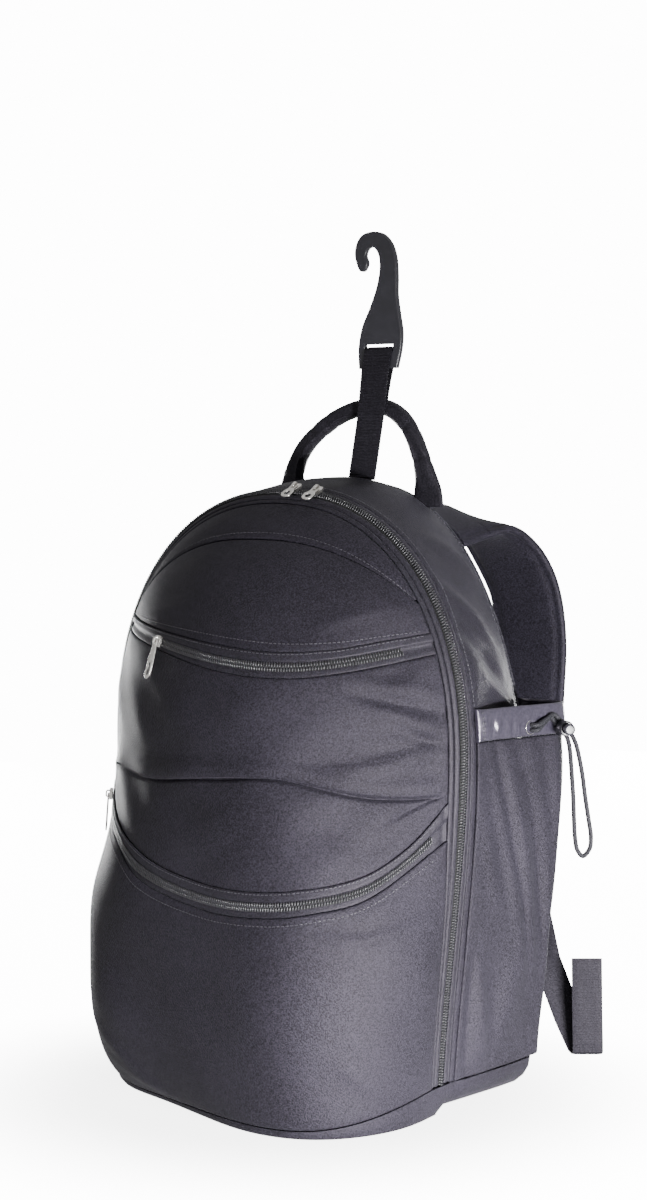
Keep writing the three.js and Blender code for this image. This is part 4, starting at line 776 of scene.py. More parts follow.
def top_surface(u, v):
    t = CRESCENT * (2 * u - 1)
    foot = arch_place(t, ARCH_DROP - 0.004)
    head = arch_place(t, 0.002)
    return front_point(lerp(foot[0], head[0], v), lerp(foot[1], head[1], v))


top = Sheet(top_surface, side_steps(150), fine_steps(26, 0.08))
puff(top, 0.8, 8)
soften(top, 0.5)
stitch_row(top, row=6)
top.build("top_panel_cloth", "twill", "top_panel")


# A near-black strip that a row of teeth stands on, painted shade for the gaps between them: rows of points,
# and how far it goes in
def strip_under(name, rows, inward, depth):
    deep = rows + inward[:, None] * depth
    points = np.concatenate([rows, deep[:, ::-1]], 1)
    index = np.arange(points.shape[0] * points.shape[1]).reshape(points.shape[:2])
    after = np.roll(index, -1, axis=1)
    faces = np.stack([index[:-1], index[1:], after[1:], after[:-1]], -1).reshape(-1, 4).tolist()
    strip = Batch()
    strip.add(points.reshape(-1, 3), [*faces, index[0].tolist(), index[-1, ::-1].tolist()])
    strip.build(name, "zip_coil", look="zip_painted_shade")


# Front pockets' zips: a raised flap over the coil, the coil's two rows of teeth and a thin lower tape
def front_zip(name, below, above, reach):
    tape = Sheet(band(seam(below), seam(above)), side_steps(190), fine_steps(26, 0.05), 0.5)
    flap = smooth((tape.v - COIL_PLACE - 0.1) / 0.16)
    trough = np.exp(-(((tape.v - COIL_PLACE) / 0.17) ** 2))
    tape.relief += 1.5 * flap - 0.6 * trough
    tape.relief -= 0.9 * np.exp(-(((tape.u - (reach[1] + 1.03) / 2) * tape.size[0] / 1.6) ** 2))
    stitch_row(tape, row=-6)
    tape.build(name + "_tape_cloth", "zip_tape", name + "_tape", 1.0, 0.6, 1.2)

    a = np.linspace(reach[0], reach[1], 900)
    z = lerp(seam(below)(a), seam(above)(a), COIL_PLACE)
    line = on_front(a, z)
    climb = unit(on_front(a, z + 1.0) - on_front(a, z - 1.0))
    out = unit(np.cross(np.gradient(line, axis=0), climb))
    if np.dot(out[450], line[450] - MIDDLE) < 0:
        out = -out
    at, climb, out = evenly(line, TOOTH_PITCH, climb, out)
    axis = np.gradient(at, axis=0)
    batch = Batch()
    batch.add(*bars(at + climb * 1.55 + out * 0.6, climb, out, 1.7, *TOOTH))
    batch.add(*bars(at - climb * 1.55 + out * 0.6 + axis / 2, climb, out, 1.7, *TOOTH))
    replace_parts(batch.build(name + "_teeth", "zip_coil"), name + "_coil")
    rows = np.stack([at + climb * 3.3 - out * 0.1, at + out * 0.1, at - climb * 3.3 - out * 0.1], 1)
    strip_under(name + "_painted_shade", rows, -out, 0.5)


front_zip("lower_zip", LOWER_TAPE, FLAP, (-0.97, 0.96))
front_zip("upper_zip", UPPER_TAPE, UPPER_FLAP, (-0.48, 0.88))


# The main zip and its two tapes
def front_tape(u, v):
    return front_point(*in_from_zip(ZIP_STOP * (2 * u - 1), COIL_WIDTH / 2 + SEAM_GAP + v * FRONT_TAPE))


def rear_tape(u, v):
    return gusset_point(ZIP_STOP * (2 * u - 1), ZIP_PLANE + COIL_WIDTH / 2 + SEAM_GAP + v * REAR_TAPE)


# The tape's folded edge beside the coil, a seam's groove and a flat margin, in millimetres from the coil
def edge_ridge(tape):
    ridge = 0.7 * np.sin(np.pi * np.clip(tape.from_foot / 5.2, 0, 1)) ** 0.7
    groove = 0.8 * np.exp(-(((tape.from_foot - 5.5) / 0.45) ** 2))
    return ridge - groove + 0.05 * np.sin(tape.from_left / 3.1) * np.sin(tape.from_left / 7.7)


around = fine_steps(420, 0.002)
for surface, count, word in ((front_tape, 30, "front"), (rear_tape, 26, "rear")):
    tape = Sheet(surface, around, fine_steps(count, 0.05))
    tape.relief += edge_ridge(tape)
    tape.build("main_zip_" + word + "_cloth", "zip_tape", "main_zip_tape_" + word, FABRIC, 1.1, 1.7)

t = np.linspace(-ZIP_STOP, ZIP_STOP, 1400)
edge = zip_point(t)
inward = front_point(*in_from_zip(t, COIL_WIDTH / 2)) - edge
backward = gusset_point(t, ZIP_PLANE + COIL_WIDTH / 2) - edge
along = unit(np.gradient(edge, axis=0))
outs = []
for out in (np.cross(inward, along), np.cross(along, backward)):
    outs.append(unit(out) * np.sign(np.sum(unit(out) * (edge - MIDDLE), -1, keepdims=True)))
at, inward, backward, out_front, out_rear, out = evenly(
    edge, TOOTH_PITCH, inward, backward, *outs, unit(outs[0] + outs[1])
)
axis = np.gradient(at, axis=0)
teeth = Batch()
crown = at + out * 0.7
for side, face, shift in ((inward, out_front, 0), (backward, out_rear, axis / 2)):
    root = at + side * 0.92 + face * 0.05
    teeth.add(*bars((crown + root) / 2 + shift, root - crown, face, 1.75, *TOOTH))
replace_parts(teeth.build("main_zip_teeth", "zip_coil"), "main_zip_coil")
rows = np.stack([at + inward - out_front * 0.5, at - out * 0.2, at + backward - out_rear * 0.5], 1)
strip_under("main_zip_painted_shade", rows, -out, 0.9)

# Gusset
def gusset_surface(u, v):
    start = ZIP_PLANE + COIL_WIDTH / 2 + REAR_TAPE + 2 * SEAM_GAP
    return gusset_point(2 * u - 1, lerp(start, BACK_SEAM - SEAM_GAP, v))


gusset = Sheet(gusset_surface, fine_steps(360, 0.004), fine_steps(44, 0.03))
puff(gusset, 1.0)
soften(gusset, 0.9, 12, 34)
fold(
    gusset,
    ((0.6, 0.2), (0.64, 0.9), 11, 2.6),
    ((0.645, 0.06), (0.7, 0.75), 8, 3.4),
    ((0.68, 0.1), (0.725, 0.8), 7, -2.8),
    ((0.715, 0.3), (0.75, 0.95), 7, 3.2),
    ((0.74, 0.02), (0.77, 0.4), 6, -1.8),
    ((0.24, 0.1), (0.3, 0.8), 11, 2.4),
    ((0.33, 0.15), (0.38, 0.9), 12, 2.0),
    ((0.46, 0.3), (0.54, 0.7), 16, 1.6),
)
stitch_row(gusset, row=5, short=6)
stitch_row(gusset, row=-6, short=6)
gusset.build("gusset_cloth", "twill", "gusset")


# Back: a padded air mesh panel with quilted channels
def back_height(v):
    tip = 0.985
    z = lerp(REAR_HEM, BACK_TOP, np.sin(np.pi / 2 * v * tip) / np.sin(np.pi / 2 * tip))
    return np.minimum(z, BACK_TOP - 0.4)


u, v = np.meshgrid(fine_steps(150, 0.01), fine_steps(190, 0.01))
z = back_height(v)
x = (2 * u - 1) * back_half(z)
lift = back_puff(x, z)
inside = np.minimum(1 - np.abs(2 * u - 1), np.minimum(v, 1 - v) * 2) * 150
for height in (120, 200, 280, 360):
    quilted = smooth((np.abs(x) - 24) / 8) * smooth((inside - 18) / 8)
    lift -= 2.6 * np.exp(-(((z - height) / 3.2) ** 2)) * quilted
lift -= 2.2 * np.exp(-(((inside - 15) / 2.4) ** 2))
face = np.stack([x, BACK_SEAM + np.maximum(lift, 1.2), z], -1)
flat = np.stack([x, np.full(x.shape, BACK_SEAM), z], -1)
points = np.concatenate([face.reshape(-1, 3), flat.reshape(-1, 3)])
faces = shell_faces(*u.shape)[:, ::-1].tolist()
back = make_object("back_panel_pad", points, faces, "mesh", points[:, [0, 2]])
fit(back, "back_panel")


# Side pockets: walls with soft folds, and a gathered hem that holds the draw cord
HEM_PUCKERS = 64


def gusset_foot(depth):
    return lerp(ZIP_END, REAR_HEM, depth)


for side, name in ((1, "right"), (-1, "left")):
    hem_foot = POCKET_TOP - HEM_HEIGHT - SEAM_GAP

    def wall_surface(u, v, side=side):
        foot = gusset_foot(pocket_depth(u)) + 2 * SEAM_GAP
        return pocket_point(side, u, lerp(foot, hem_foot, v))

    wall = Sheet(wall_surface, fine_steps(120, 0.01), fine_steps(90, 0.01))
    soften(wall, 0.5)
    fold(
        wall,
        ((0.07, 1.0), (0.36, 0.3), 4.5, 2.0),
        ((0.12, 1.0), (0.42, 0.26), 3.2, -1.9),
        ((0.17, 1.0), (0.48, 0.2), 4.5, 2.2),
        ((0.24, 1.0), (0.55, 0.3), 3.5, -1.5),
        ((0.31, 1.0), (0.58, 0.4), 5, 1.7),
        ((0.45, 1.0), (0.62, 0.5), 7, 1.4),
        ((0.05, 0.8), (0.2, 0.46), 6, 2.2),
        ((0.17, 0.02), (0.1, 0.34), 6, 4.2),
        ((0.07, 0.0), (0.05, 0.36), 4, -2.2),
        ((0.3, 0.3), (0.26, 0.02), 8, 2.4),
    )
    wall.build("side_pocket_cloth_" + name, "twill", "side_pocket_" + name, POCKET_FABRIC)

    def hem_surface(u, v, side=side):
        return pocket_point(side, u, lerp(hem_foot + SEAM_GAP, POCKET_TOP, v))

    hem = Sheet(hem_surface, fine_steps(220, 0.006), fine_steps(22, 0.06), -HEM_FACE)
    hem.relief += 2.4 * np.sin(np.pi * np.clip(hem.v, 0, 1)) ** 0.6
    for _ in range(HEM_PUCKERS):
        place = rng.uniform(0, 1)
        lean = rng.uniform(-0.03, 0.05)
        end = (place + lean, rng.uniform(0.3, 1))
        fold(hem, ((place, 0.06), end, rng.uniform(1.4, 3), rng.uniform(-0.9, 0.8)))
    hem.relief *= smooth(np.minimum(hem.from_left, hem.from_right) / 9)
    hem.build("pocket_hem_cloth_" + name, "satin", "pocket_hem_" + name, HEM_THICK, 1.4)
    stitch_row(hem, row=3, lift=0.2, short=5)
    for column in (8, 10):
        stitch_row(hem, column=column, lift=0.35, short=3)


# The base is a shallow dish under the lower edges
FOOT_REAR = BACK_SEAM - FLOOR_TUCK_BACK
def base_rings():
    u = np.linspace(0, 1, 65)
    u = 0.5 + 0.5 * lerp(2 * u - 1, np.sin(np.pi / 2 * (2 * u - 1)), 0.75)
    across = 2 * u - 1
    rim = [on_front(across, bottom_edge(across) - 2 * SEAM_GAP)]
    foot = [on_front(across, 0 * across) * [1, 1, 0]]
    back_y = BACK_SEAM - SEAM_GAP

    def sides(side, shares):
        y = lerp(ZIP_PLANE, back_y, shares)
        head = gusset_point(side + 0 * y, y)
        low_x = head[:, 0] - side * FLOOR_TUCK_SIDE * smooth((y - ZIP_PLANE) / 40 + 0.35)
        depth = (y - ZIP_PLANE) / GUSSET_DEPTH
        share = np.interp(depth, pocket_depth(np.linspace(0, 0.62, 60)), np.linspace(0, 0.62, 60))
        pocket = pocket_point(side, share, head[:, 2])
        under = smooth((depth - 0.13) * 8) * smooth((1 - depth) * 8)
        rim.append(np.stack([lerp(head[:, 0], pocket[:, 0], under), y, head[:, 2] - SEAM_GAP], -1))
        foot.append(np.stack([low_x, np.minimum(y, FOOT_REAR), 0 * y], -1))

    sides(1, np.linspace(0.12, 0.96, 22))
    x = np.linspace(0.8, -0.8, 25) * BACK_HALF
    rim.append(np.stack([x, np.full(25, back_y), np.full(25, REAR_HEM - SEAM_GAP)], -1))
    foot.append(np.stack([x * 0.96, np.full(25, FOOT_REAR), np.zeros(25)], -1))
    sides(-1, np.linspace(0.96, 0.12, 22))
    return np.concatenate(rim), np.concatenate(foot)


rim, foot = base_rings()
centre = np.array([0, (foot[32, 1] + FOOT_REAR) / 2, 0])
rings = [lerp(centre, foot, s) for s in (0.15, 0.4, 0.7, 1)]
for angle in np.radians([18, 36, 54, 72, 90]):
    ring = lerp(foot, rim, math.sin(angle))
    ring[:, 2] = rim[:, 2] * (1 - math.cos(angle))
    rings.append(ring)
rings = np.array(rings)
inner = rings.copy()
to_centre = unit((centre - rings) * np.array([1, 1, 0]))
flatness = np.array([1, 1, 1, 1, 0.9, 0.75, 0.5, 0.25, 0])[:, None, None]
inner += to_centre * BASE_FABRIC * (1 - flatness) + np.array([0, 0, BASE_FABRIC]) * flatness
n_rings, n_around = rings.shape[:2]
raised = centre + [0, 0, BASE_FABRIC]
points = np.concatenate([[centre], rings.reshape(-1, 3), [raised], inner.reshape(-1, 3)])
layer = 1 + n_rings * n_around
faces = []
for i in range(n_around):
    k = (i + 1) % n_around
    faces.append([0, 1 + k, 1 + i])
    faces.append([layer, layer + 1 + i, layer + 1 + k])
    for a in range(1, layer - n_around, n_around):
        quad = [a + i, a + k, a + n_around + k, a + n_around + i]
        faces.append(quad)
        faces.append([layer + quad[0], layer + quad[3], layer + quad[2], layer + quad[1]])
    a, b = layer - n_around + i, layer - n_around + k
    faces.append([a, b, layer + b, layer + a])
base = make_object("base_cloth", points, faces, "twill", points[:, :2])
fit(base, "base_panel")
width, length, _ = (np.ptp(points, axis=0) + BASE_TURN_UP) * MM


# Sweeps
def spline(points, per):
    """Points along a centripetal curve through the given ones"""
    points = np.asarray(points, float)
    ends = np.concatenate([[2 * points[0] - points[1]], points, [2 * points[-1] - points[-2]]])
    out = []
    for i in range(len(points) - 1):
        p0, p1, p2, p3 = ends[i:i + 4]
        pairs = ((p0, p1), (p1, p2), (p2, p3))
        d0, d1, d2 = [max(np.linalg.norm(b[:3] - a[:3]) ** 0.5, 1e-4) for a, b in pairs]
        m1 = ((p1 - p0) / d0 - (p2 - p0) / (d0 + d1) + (p2 - p1) / d1) * d1
        m2 = ((p2 - p1) / d1 - (p3 - p1) / (d1 + d2) + (p3 - p2) / d2) * d1
        for s in np.arange(per) / per:
            h = np.array([2 * s**3 - 3 * s**2 + 1, s**3 - 2 * s**2 + s, -2 * s**3 + 3 * s**2, s**3 - s**2])
            out.append(h[0] * p1 + h[1] * m1 + h[2] * p2 + h[3] * m2)
    out.append(points[-1])
    return np.array(out)


def resample(rows, step):
    s = np.concatenate([[0], np.cumsum(np.linalg.norm(np.diff(rows[:, :3], axis=0), axis=-1))])
    want = np.linspace(0, s[-1], max(int(s[-1] / step), 3) + 1)
    return np.stack([np.interp(want, s, rows[:, c]) for c in range(rows.shape[1])], -1), want


def sweep(at, along, wide, width, thickness, section, relief=None):
    """Rings of a section, its first number across the width and its second through the thickness"""
    along = unit(along)
    wide = unit(wide)
    thick = unit(np.cross(along, wide))
    section = np.asarray(section)
    rings = (
        at[:, None]
        + wide[:, None] * (section[None, :, :1] * width[:, None, None] / 2)
        + thick[:, None] * (section[None, :, 1:] * thickness[:, None, None] / 2)
    )
    if relief is not None:
        rings = rings + thick[:, None] * (relief * np.sign(section[:, 1]))[..., None]
    return rings


def ring_mesh(name, rings, slot, sharp=45.0):
    n, m = rings.shape[:2]
    index = np.arange(n * m).reshape(n, m)
    nxt = np.roll(index, -1, axis=1)
    faces = np.stack([index[:-1], nxt[:-1], nxt[1:], index[1:]], -1).reshape(-1, 4).tolist()
    faces.append(index[0, ::-1].tolist())
    faces.append(index[-1].tolist())
    closed = np.concatenate([rings, rings[:, :1]], 1)
    around_length = lengths(closed, 1)[:, :-1]
    down = lengths(rings, 0)
    uv = np.stack([around_length, down], -1).reshape(-1, 2)
    piece = make_object(name, rings.reshape(-1, 3), faces, slot, uv, sharp)
    bm = bmesh.new()
    bm.from_mesh(piece.data)
    bmesh.ops.recalc_face_normals(bm, faces=bm.faces)
    bm.to_mesh(piece.data)
    bm.free()
    return piece


def rounded(sides, flat):
    angle = 2 * np.pi * np.arange(sides) / sides
    c, s = np.cos(angle), np.sin(angle)
    return np.stack([np.sign(c) * np.abs(c) ** flat, np.sign(s) * np.abs(s) ** flat], -1)


def flat_section(across):
    x = np.linspace(-1, 1, across)
    top = np.stack([x, np.where(np.abs(x) > 0.99, 0.5, 1.0)], -1)
    return np.concatenate([top, np.stack([x[::-1], -top[::-1, 1]], -1)])


# Draw cord: a tube on the route, with a braid pressed into it
route = resample(spline(CORD_ROUTE, 10), 0.45)[0]
cord_length = float(np.linalg.norm(np.diff(route, axis=0), axis=-1).sum())
tangent = unit(np.gradient(route, axis=0))
frame_up = [unit(np.cross(tangent[0], [0.3, 0.2, 1.0]))]
for i in range(1, len(tangent)):
    before = frame_up[-1]
    frame_up.append(unit(before - tangent[i] * np.dot(before, tangent[i])))
frame_up = np.array(frame_up)
frame_side = np.cross(tangent, frame_up)
along_cord = np.linspace(0, cord_length, len(route))[:, None]
angle = 2 * np.pi * np.arange(16)[None] / 16
winding = along_cord * 2 * np.pi / BRAID_TURN
braid = np.abs(np.sin(4 * angle + winding)) * np.abs(np.sin(4 * angle - winding))
radius = CORD_RADIUS + BRAID_RISE * braid
rings = (
    route[:, None]
    + frame_up[:, None] * (np.cos(angle) * radius)[..., None]
    + frame_side[:, None] * (np.sin(angle) * radius)[..., None]
)
cord = ring_mesh("draw_cord_braid", rings, "cord", 60)
fit(cord, "draw_cord")


# Hard pieces keep their CAD form with eased edges
def ease(node, slot, bevel, body="root"):
    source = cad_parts[node]
    mesh = source.data.copy()
    bm = bmesh.new()
    bm.from_mesh(mesh)
    bmesh.ops.remove_doubles(bm, verts=bm.verts, dist=1e-6)
    bmesh.ops.dissolve_limit(bm, angle_limit=math.radians(2), verts=bm.verts, edges=bm.edges)
    bm.to_mesh(mesh)
    bm.free()
    smooth_mesh(mesh, slot, 50)
    piece = add_object(node + "_eased", mesh)
    edges = piece.modifiers.new("edges", "BEVEL")
    edges.width = bevel * MM
    edges.segments = 3
    edges.limit_method = "ANGLE"
    edges.angle_limit = math.radians(35)
    fit(piece, node, body)
    return piece


lock_body = ease("cord_lock_body", "plastic", 0.3)
lock_button = ease("cord_lock_button", "plastic", 0.3, "cord_lock_button")
for side in ("right", "left"):
    ease("eyelet_" + side, "nickel", 0.15)
    ease("ladder_lock_" + side, "plastic", 0.6)
for name in ("lower", "upper", "main_left", "main_right"):
    ease(name + "_slider", "nickel", 0.28)
    ease(name + "_pull", "nickel", 0.25, name + "_pull")


# Haul handle
HANDLE_Y = BACK_SEAM - HANDLE_ROLL / 2 - 1


def gusset_at(x, y):
    low, high = -0.6, 0.6
    for _ in range(24):
        t = (low + high) / 2
        if gusset_point(np.array(t), np.array(y))[0] < x:
            low = t
        else:
            high = t
    return low


def at_handle(t):
    return gusset_point(np.array(t), np.array(HANDLE_Y))


spots = []
for across, up in HANDLE:
    t = gusset_at(math.copysign(0.97 * HANDLE_SPAN / 2, across), HANDLE_Y)
    ground = at_handle(t)
    slope = unit(at_handle(t + 0.01) - at_handle(t - 0.01))
    normal = np.array([-slope[2], 0, slope[0]])
    normal *= np.sign(normal[2])
    rolled = smooth(up / 0.55)
    at = np.array([across * HANDLE_SPAN / 2, HANDLE_Y, ground[2] + up * HANDLE_RISE])
    if up == 0:
        at = ground + normal * HANDLE_SEAT
    spots.append([*at, lerp(HANDLE_FOOT, HANDLE_ROLL, rolled), lerp(HANDLE_FLAT, HANDLE_ROLL, rolled)])
line = resample(spline(spots, 12), 1.2)[0]
along = unit(np.gradient(line[:, :3], axis=0))
wide = np.cross([0, 1, 0], along)
section = rounded(28, 0.75)
run = np.arange(len(line))[:, None]
turn = np.arange(len(section))[None] * 2 * np.pi / len(section)
creased = 0.5 * np.sin(run * 0.21) * np.cos(2 * turn)
creased = creased + 0.45 * np.sin(run * 0.083 + 1.3) * np.sin(3 * turn + run * 0.02)
for place in (22, 58, 71, 96, 140, 163):
    creased = creased - 1.1 * np.exp(-(((run - place - 3 * np.sin(turn)) / 2.2) ** 2))
lip = 1.1 * np.exp(-(((turn - 5.2) / 0.22) ** 2)) + 0.9 * np.exp(-(((turn - 2.1) / 0.3) ** 2))
rolled = smooth((line[:, 4:5] - HANDLE_FLAT) / 6)
rings = sweep(line[:, :3], along, wide, line[:, 3], line[:, 4], section, (creased + lip) * rolled)
fit(ring_mesh("haul_handle_webbing", rings, "webbing"), "haul_handle")


# Stations of webbing that comes up one face of a bar, turns over its top edge and goes down the other face
def wrap_over(x, y, top, thickness, below):
    radius = thickness / 2 + WEBBING_THICK / 2 + WRAP_GAP
    out = []
    for angle in (-90, -90, -54, -18, 18, 54, 90, 90):
        a = math.radians(angle)
        drop = below if len(out) in (0, 7) else 0
        out.append([x, y + radius * math.sin(a), top - WRAP_DROP + radius * math.cos(a) - drop])
    return out


# A flat band of webbing with ribs across it
def webbing(name, places, wides, node, rib=1.35, depth=0.12):
    rows = np.concatenate([np.array(places, float), np.array(wides, float)], 1)
    dense = []
    for a, b in zip(rows[:-1], rows[1:]):
        dense += [lerp(a, b, s) for s in np.arange(6) / 6]
    dense.append(rows[-1])
    line, run = resample(np.array(dense), 0.34)
    soft = line.copy()
    for _ in range(10):
        soft[1:-1, :3] = (soft[:-2, :3] + 2 * soft[1:-1, :3] + soft[2:, :3]) / 4
    along = unit(np.gradient(soft[:, :3], axis=0))
    relief = depth * np.cos(2 * np.pi * run / rib)[:, None]
    size = np.full(len(soft), WEBBING)
    thick = np.full(len(soft), WEBBING_THICK - depth)
    rings = sweep(soft[:, :3], along, unit(soft[:, 3:]), size, thick, flat_section(9), relief)
    piece = ring_mesh(name, rings, "webbing")
    fit(piece, node)


hook_y = HANDLE_Y - HANDLE_ROLL / 2 - 1.5 * WEBBING_THICK - WRAP_GAP - 2 * SEAM_GAP
hook_base = gusset_point(np.array(0.01), np.array(hook_y))[2] + HOOK_SEAT
hook_slot = hook_base + HOOK_STRAP_RISE


def hook_lean(z):
    return HOOK_FOOT + (z - hook_base) * HOOK_LEAN


wrap = wrap_over(0, hook_y, hook_slot, HOOK_THICK, HOOK_BAR)
wrap = [[hook_lean(p[2]), p[1], p[2]] for p in wrap]
tail_end = hook_slot - HOOK_BAR - 30
close = hook_y + WEBBING_THICK + WRAP_GAP
low_turn = hook_slot - HOOK_BAR - 8
half_up = hook_base + HOOK_STRAP_RISE / 2
places = [
    [HOOK_FOOT, hook_y, hook_base],
    [hook_lean(half_up), hook_y, half_up],
    *wrap,
    [hook_lean(low_turn), lerp(wrap[-1][1], close, 0.6), low_turn],
    [hook_lean(tail_end), close, tail_end],
]
webbing("hook_strap_webbing", places, [[1, 0, 0]] * len(places), "hook_strap", rib=2.5, depth=0.22)

# Fence hook: a plate with rounded edges and a slot for its strap
outline = spline(np.column_stack([HOOK[::-1] * HOOK_SIZE, np.zeros(len(HOOK))]), 6)
curve = bpy.data.curves.new("fence_hook_plate", "CURVE")
curve.dimensions = "2D"
curve.fill_mode = "BOTH"
curve.extrude = (HOOK_THICK / 2 - HOOK_EASE) * MM
curve.bevel_depth = HOOK_EASE * MM
curve.bevel_resolution = 4
curve.offset = -HOOK_EASE * MM
half = WEBBING / 2 + SLOT_SIDE
high = HOOK_BAR + 2 * WEBBING_THICK + SLOT_ROOM
hole = np.array([[-half, HOOK_BAR, 0], [-half, high, 0], [half, high, 0], [half, HOOK_BAR, 0]])
for loop in (outline, hole):
    line = curve.splines.new("POLY")
    line.points.add(len(loop) - 1)
    line.points.foreach_set("co", np.column_stack([loop * MM, np.ones(len(loop))]).ravel())
    line.use_cyclic_u = True
holder = add_object("fence_hook_source", curve)
mesh = bpy.data.meshes.new_from_object(holder.evaluated_get(bpy.context.evaluated_depsgraph_get()))
bpy.data.objects.remove(holder)
co = np.empty(len(mesh.vertices) * 3)
mesh.vertices.foreach_get("co", co)
co = co.reshape(-1, 3)
seat = np.array([hook_lean(hook_slot), hook_y, hook_slot - HOOK_BAR]) * MM
co = np.stack([co[:, 0] + seat[0], -co[:, 2] + seat[1], co[:, 1] + seat[2]], -1)
mesh.vertices.foreach_set("co", co.ravel())
smooth_mesh(mesh, "plastic", 45)
hook = add_object("fence_hook_moulding", mesh)
fit(hook, "fence_hook")


# Shoulder straps and their webbing
LADDER_HEIGHT, LADDER_THICK, LADDER_BAR, LADDER_SLOT, LADDER_TAIL = 28.0, 4.0, 4.0, 6.0, 6.0
STRAP_END_WIDTH = STRAP[-1, 3]
for side, name in ((1, "right"), (-1, "left")):
    key = np.linspace(0, len(STRAP) - 1, 220)
    rows = np.stack([look_up(np.arange(len(STRAP)), STRAP[:, c], key) for c in range(5)], -1)
    x = STRAP_ACROSS + rows[:, 0] * STRAP_DROP
    z = STRAP_HEIGHT - rows[:, 2] * STRAP_DROP
    root_out = back_puff(STRAP_ACROSS - STRAP_WIDTH / 2, np.array(STRAP_HEIGHT)) + SEAM_GAP
    out = rows[:, 1] * STRAP_STAND
    out = np.where(key < 1, lerp(root_out, STRAP[1, 1] * STRAP_STAND, key), out)
    at = np.stack([side * x, BACK_SEAM + out, z], -1)
    turn = np.radians(rows[:, 4])
    along = unit(np.gradient(at, axis=0))
    wide = np.stack([side * np.cos(turn), 0 * turn, np.sin(turn)], -1)
    wide = unit(wide - along * np.sum(wide * along, -1, keepdims=True))
    width = STRAP_WIDTH * rows[:, 3]
    thick = STRAP_THICK * lerp(0.6, 1, smooth((rows[:, 3] - STRAP_END_WIDTH) / 0.16))
    section = rounded(48, 0.62)
    seam_line = np.exp(-(((np.abs(section[:, 0]) - 0.82) / 0.06) ** 2))
    rings = sweep(at, along, wide, width, thick, section, -1.3 * seam_line[None] * np.ones((len(at), 1)))
    strap = ring_mesh("shoulder_strap_pad_" + name, rings, "strap_cloth")
    fit(strap, "shoulder_strap_" + name)

    end = at[-1]
    bar_top = end[2] - SEAM_GAP - LADDER_HEIGHT + LADDER_BAR + LADDER_SLOT + LADDER_BAR
    below = LADDER_BAR + LADDER_SLOT + LADDER_BAR + LADDER_TAIL
    corner = np.array([side * CORNER_ACROSS, BACK_SEAM, CORNER_HEIGHT])
    face_out = back_puff(CORNER_ACROSS - WEBBING / 2, np.array(CORNER_HEIGHT)) + 2 * SEAM_GAP
    rising = [corner + [side * r[0], r[1] + face_out, r[2]] for r in WEBBING_UP]
    falling = [corner + [side * r[0], r[1], r[2]] for r in WEBBING_DOWN]
    wrap = wrap_over(end[0], end[1], bar_top, LADDER_THICK, below)
    places = [*rising, *wrap, *falling]
    wides = [[side, 0, 0]] * (len(rising) + len(wrap))
    wides += [[side * math.cos(a), math.sin(a), 0] for a in np.radians(WEBBING_DOWN[:, 3])]
    webbing("lower_webbing_band_" + name, places, wides, "lower_webbing_" + name)

stitching.build("stitching", "twill", 80.0, "thread")


# Floor, light and camera
floor_look, tree, surface = shader("floor")
for key, value in {
    "Base Color": (0.92, 0.92, 0.92, 1), "Roughness": 0.8,
    "Specular IOR Level": 0.1, "Emission Color": (1, 1, 1, 1),
}.items():
    surface.inputs[key].default_value = value
# Seen by the camera, the floor glows less near the bag than far out: a painted shadow round its foot
away = new_node(
    tree, "ShaderNodeVectorMath", [(0, new_node(tree, "ShaderNodeTexCoord")["Object"])], operation="LENGTH"
)
level = new_node(
    tree, "ShaderNodeMapRange", [("Value", away["Value"])], interpolation_type="SMOOTHSTEP",
    From_Min=PAINTED_SHADOW_REACH[0], From_Max=PAINTED_SHADOW_REACH[1], To_Min=FLOOR_GLOW_IN_PAINTED_SHADOW, To_Max=BACKDROP,
)
seen = new_node(tree, "ShaderNodeLightPath")
links = [("Factor", seen["Is Camera Ray"]), ("B", level["Result"])]
mixed = new_node(tree, "ShaderNodeMix", links, A=FLOOR_LIGHT)
tree.links.new(mixed["Result"], surface.inputs["Emission Strength"])
mesh = bpy.data.meshes.new("floor")
mesh.from_pydata([(-8, -8, 0), (8, -8, 0), (8, 8, 0), (-8, 8, 0)], [], [(0, 1, 2, 3)])
mesh.materials.append(floor_look)
floor = add_object("floor", mesh)
floor.location.z = -0.0006

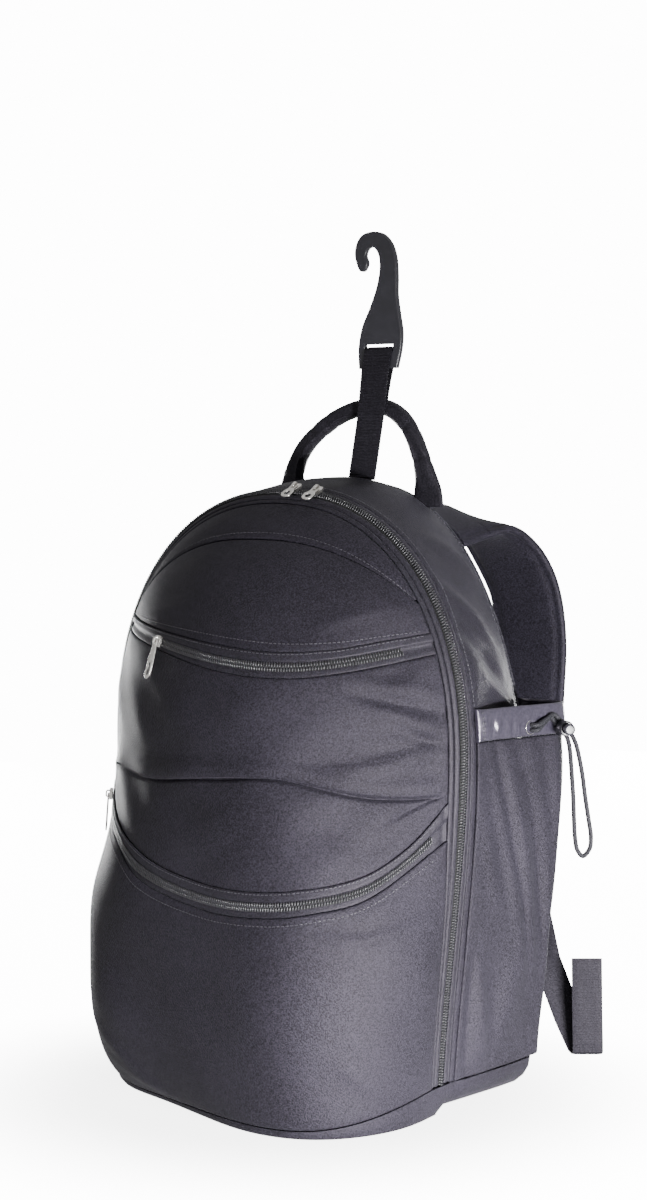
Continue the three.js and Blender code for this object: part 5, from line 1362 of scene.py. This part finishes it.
world = bpy.data.worlds.new("studio")
world.use_nodes = True
tree = world.node_tree
backdrop = tree.nodes["Background"]
backdrop.inputs["Color"].default_value = (1, 1, 1, 1)
seen = new_node(tree, "ShaderNodeLightPath")
level = new_node(
    tree, "ShaderNodeMapRange", [("Value", seen["Is Camera Ray"])], To_Min=AMBIENT, To_Max=BACKDROP
)
links = [(0, seen["Is Glossy Ray"]), (2, level["Result"])]
mirrored = new_node(tree, "ShaderNodeMath", links, operation="MULTIPLY_ADD")["Value"]
mirrored.node.inputs[1].default_value = REFLECTED
tree.links.new(mirrored, backdrop.inputs["Strength"])
bpy.context.scene.world = world


def area_light(name, place, aim, size, power, spread):
    light = bpy.data.lights.new(name, "AREA")
    light.shape = "RECTANGLE"
    light.size, light.size_y = size
    light.energy = power
    light.spread = math.radians(spread)
    lamp = add_object(name, light)
    lamp.location = place
    lamp.rotation_euler = (Vector(aim) - Vector(place)).to_track_quat("-Z", "Y").to_euler()
    lamp.visible_camera = False


area_light("key", (1.32, -0.62, 0.04), (0.15, 0.0, -0.01), (0.5, 0.3), 20.5, 54)
area_light("front", (0.3, -2.4, 0.6), (0, 0, 0.25), (1.2, 0.8), 2.4, 100)
area_light("back", (-0.35, 2.3, 0.05), (0, 0.1, 0.2), (1.0, 0.5), 24, 80)
area_light("left", (-1.8, 1.2, 0.1), (0, 0.05, 0.2), (0.8, 0.5), 10, 80)
area_light("top", (0.2, 0.2, 2.4), (0, 0, 0.3), (1.6, 1.6), 5, 150)

# The camera's lens and pitch in pixels of a picture 1200 high
FOCAL, HORIZON, PICTURE_HEIGHT = 2432, 130, 1200
HEADING = math.radians(33.0)
PITCH = math.atan2(HORIZON, FOCAL)
view = Vector((-math.sin(HEADING) * math.cos(PITCH), math.cos(HEADING) * math.cos(PITCH), -math.sin(PITCH)))
camera_data = bpy.data.cameras.new("camera")
camera_data.sensor_fit = "VERTICAL"
camera_data.sensor_height = 36.0
camera_data.lens = FOCAL / PICTURE_HEIGHT * 36.0
camera = add_object("camera", camera_data)
camera.location = (1.0499, -1.5662, 0.484)
camera.rotation_euler = view.to_track_quat("-Z", "Y").to_euler()
bpy.context.scene.camera = camera
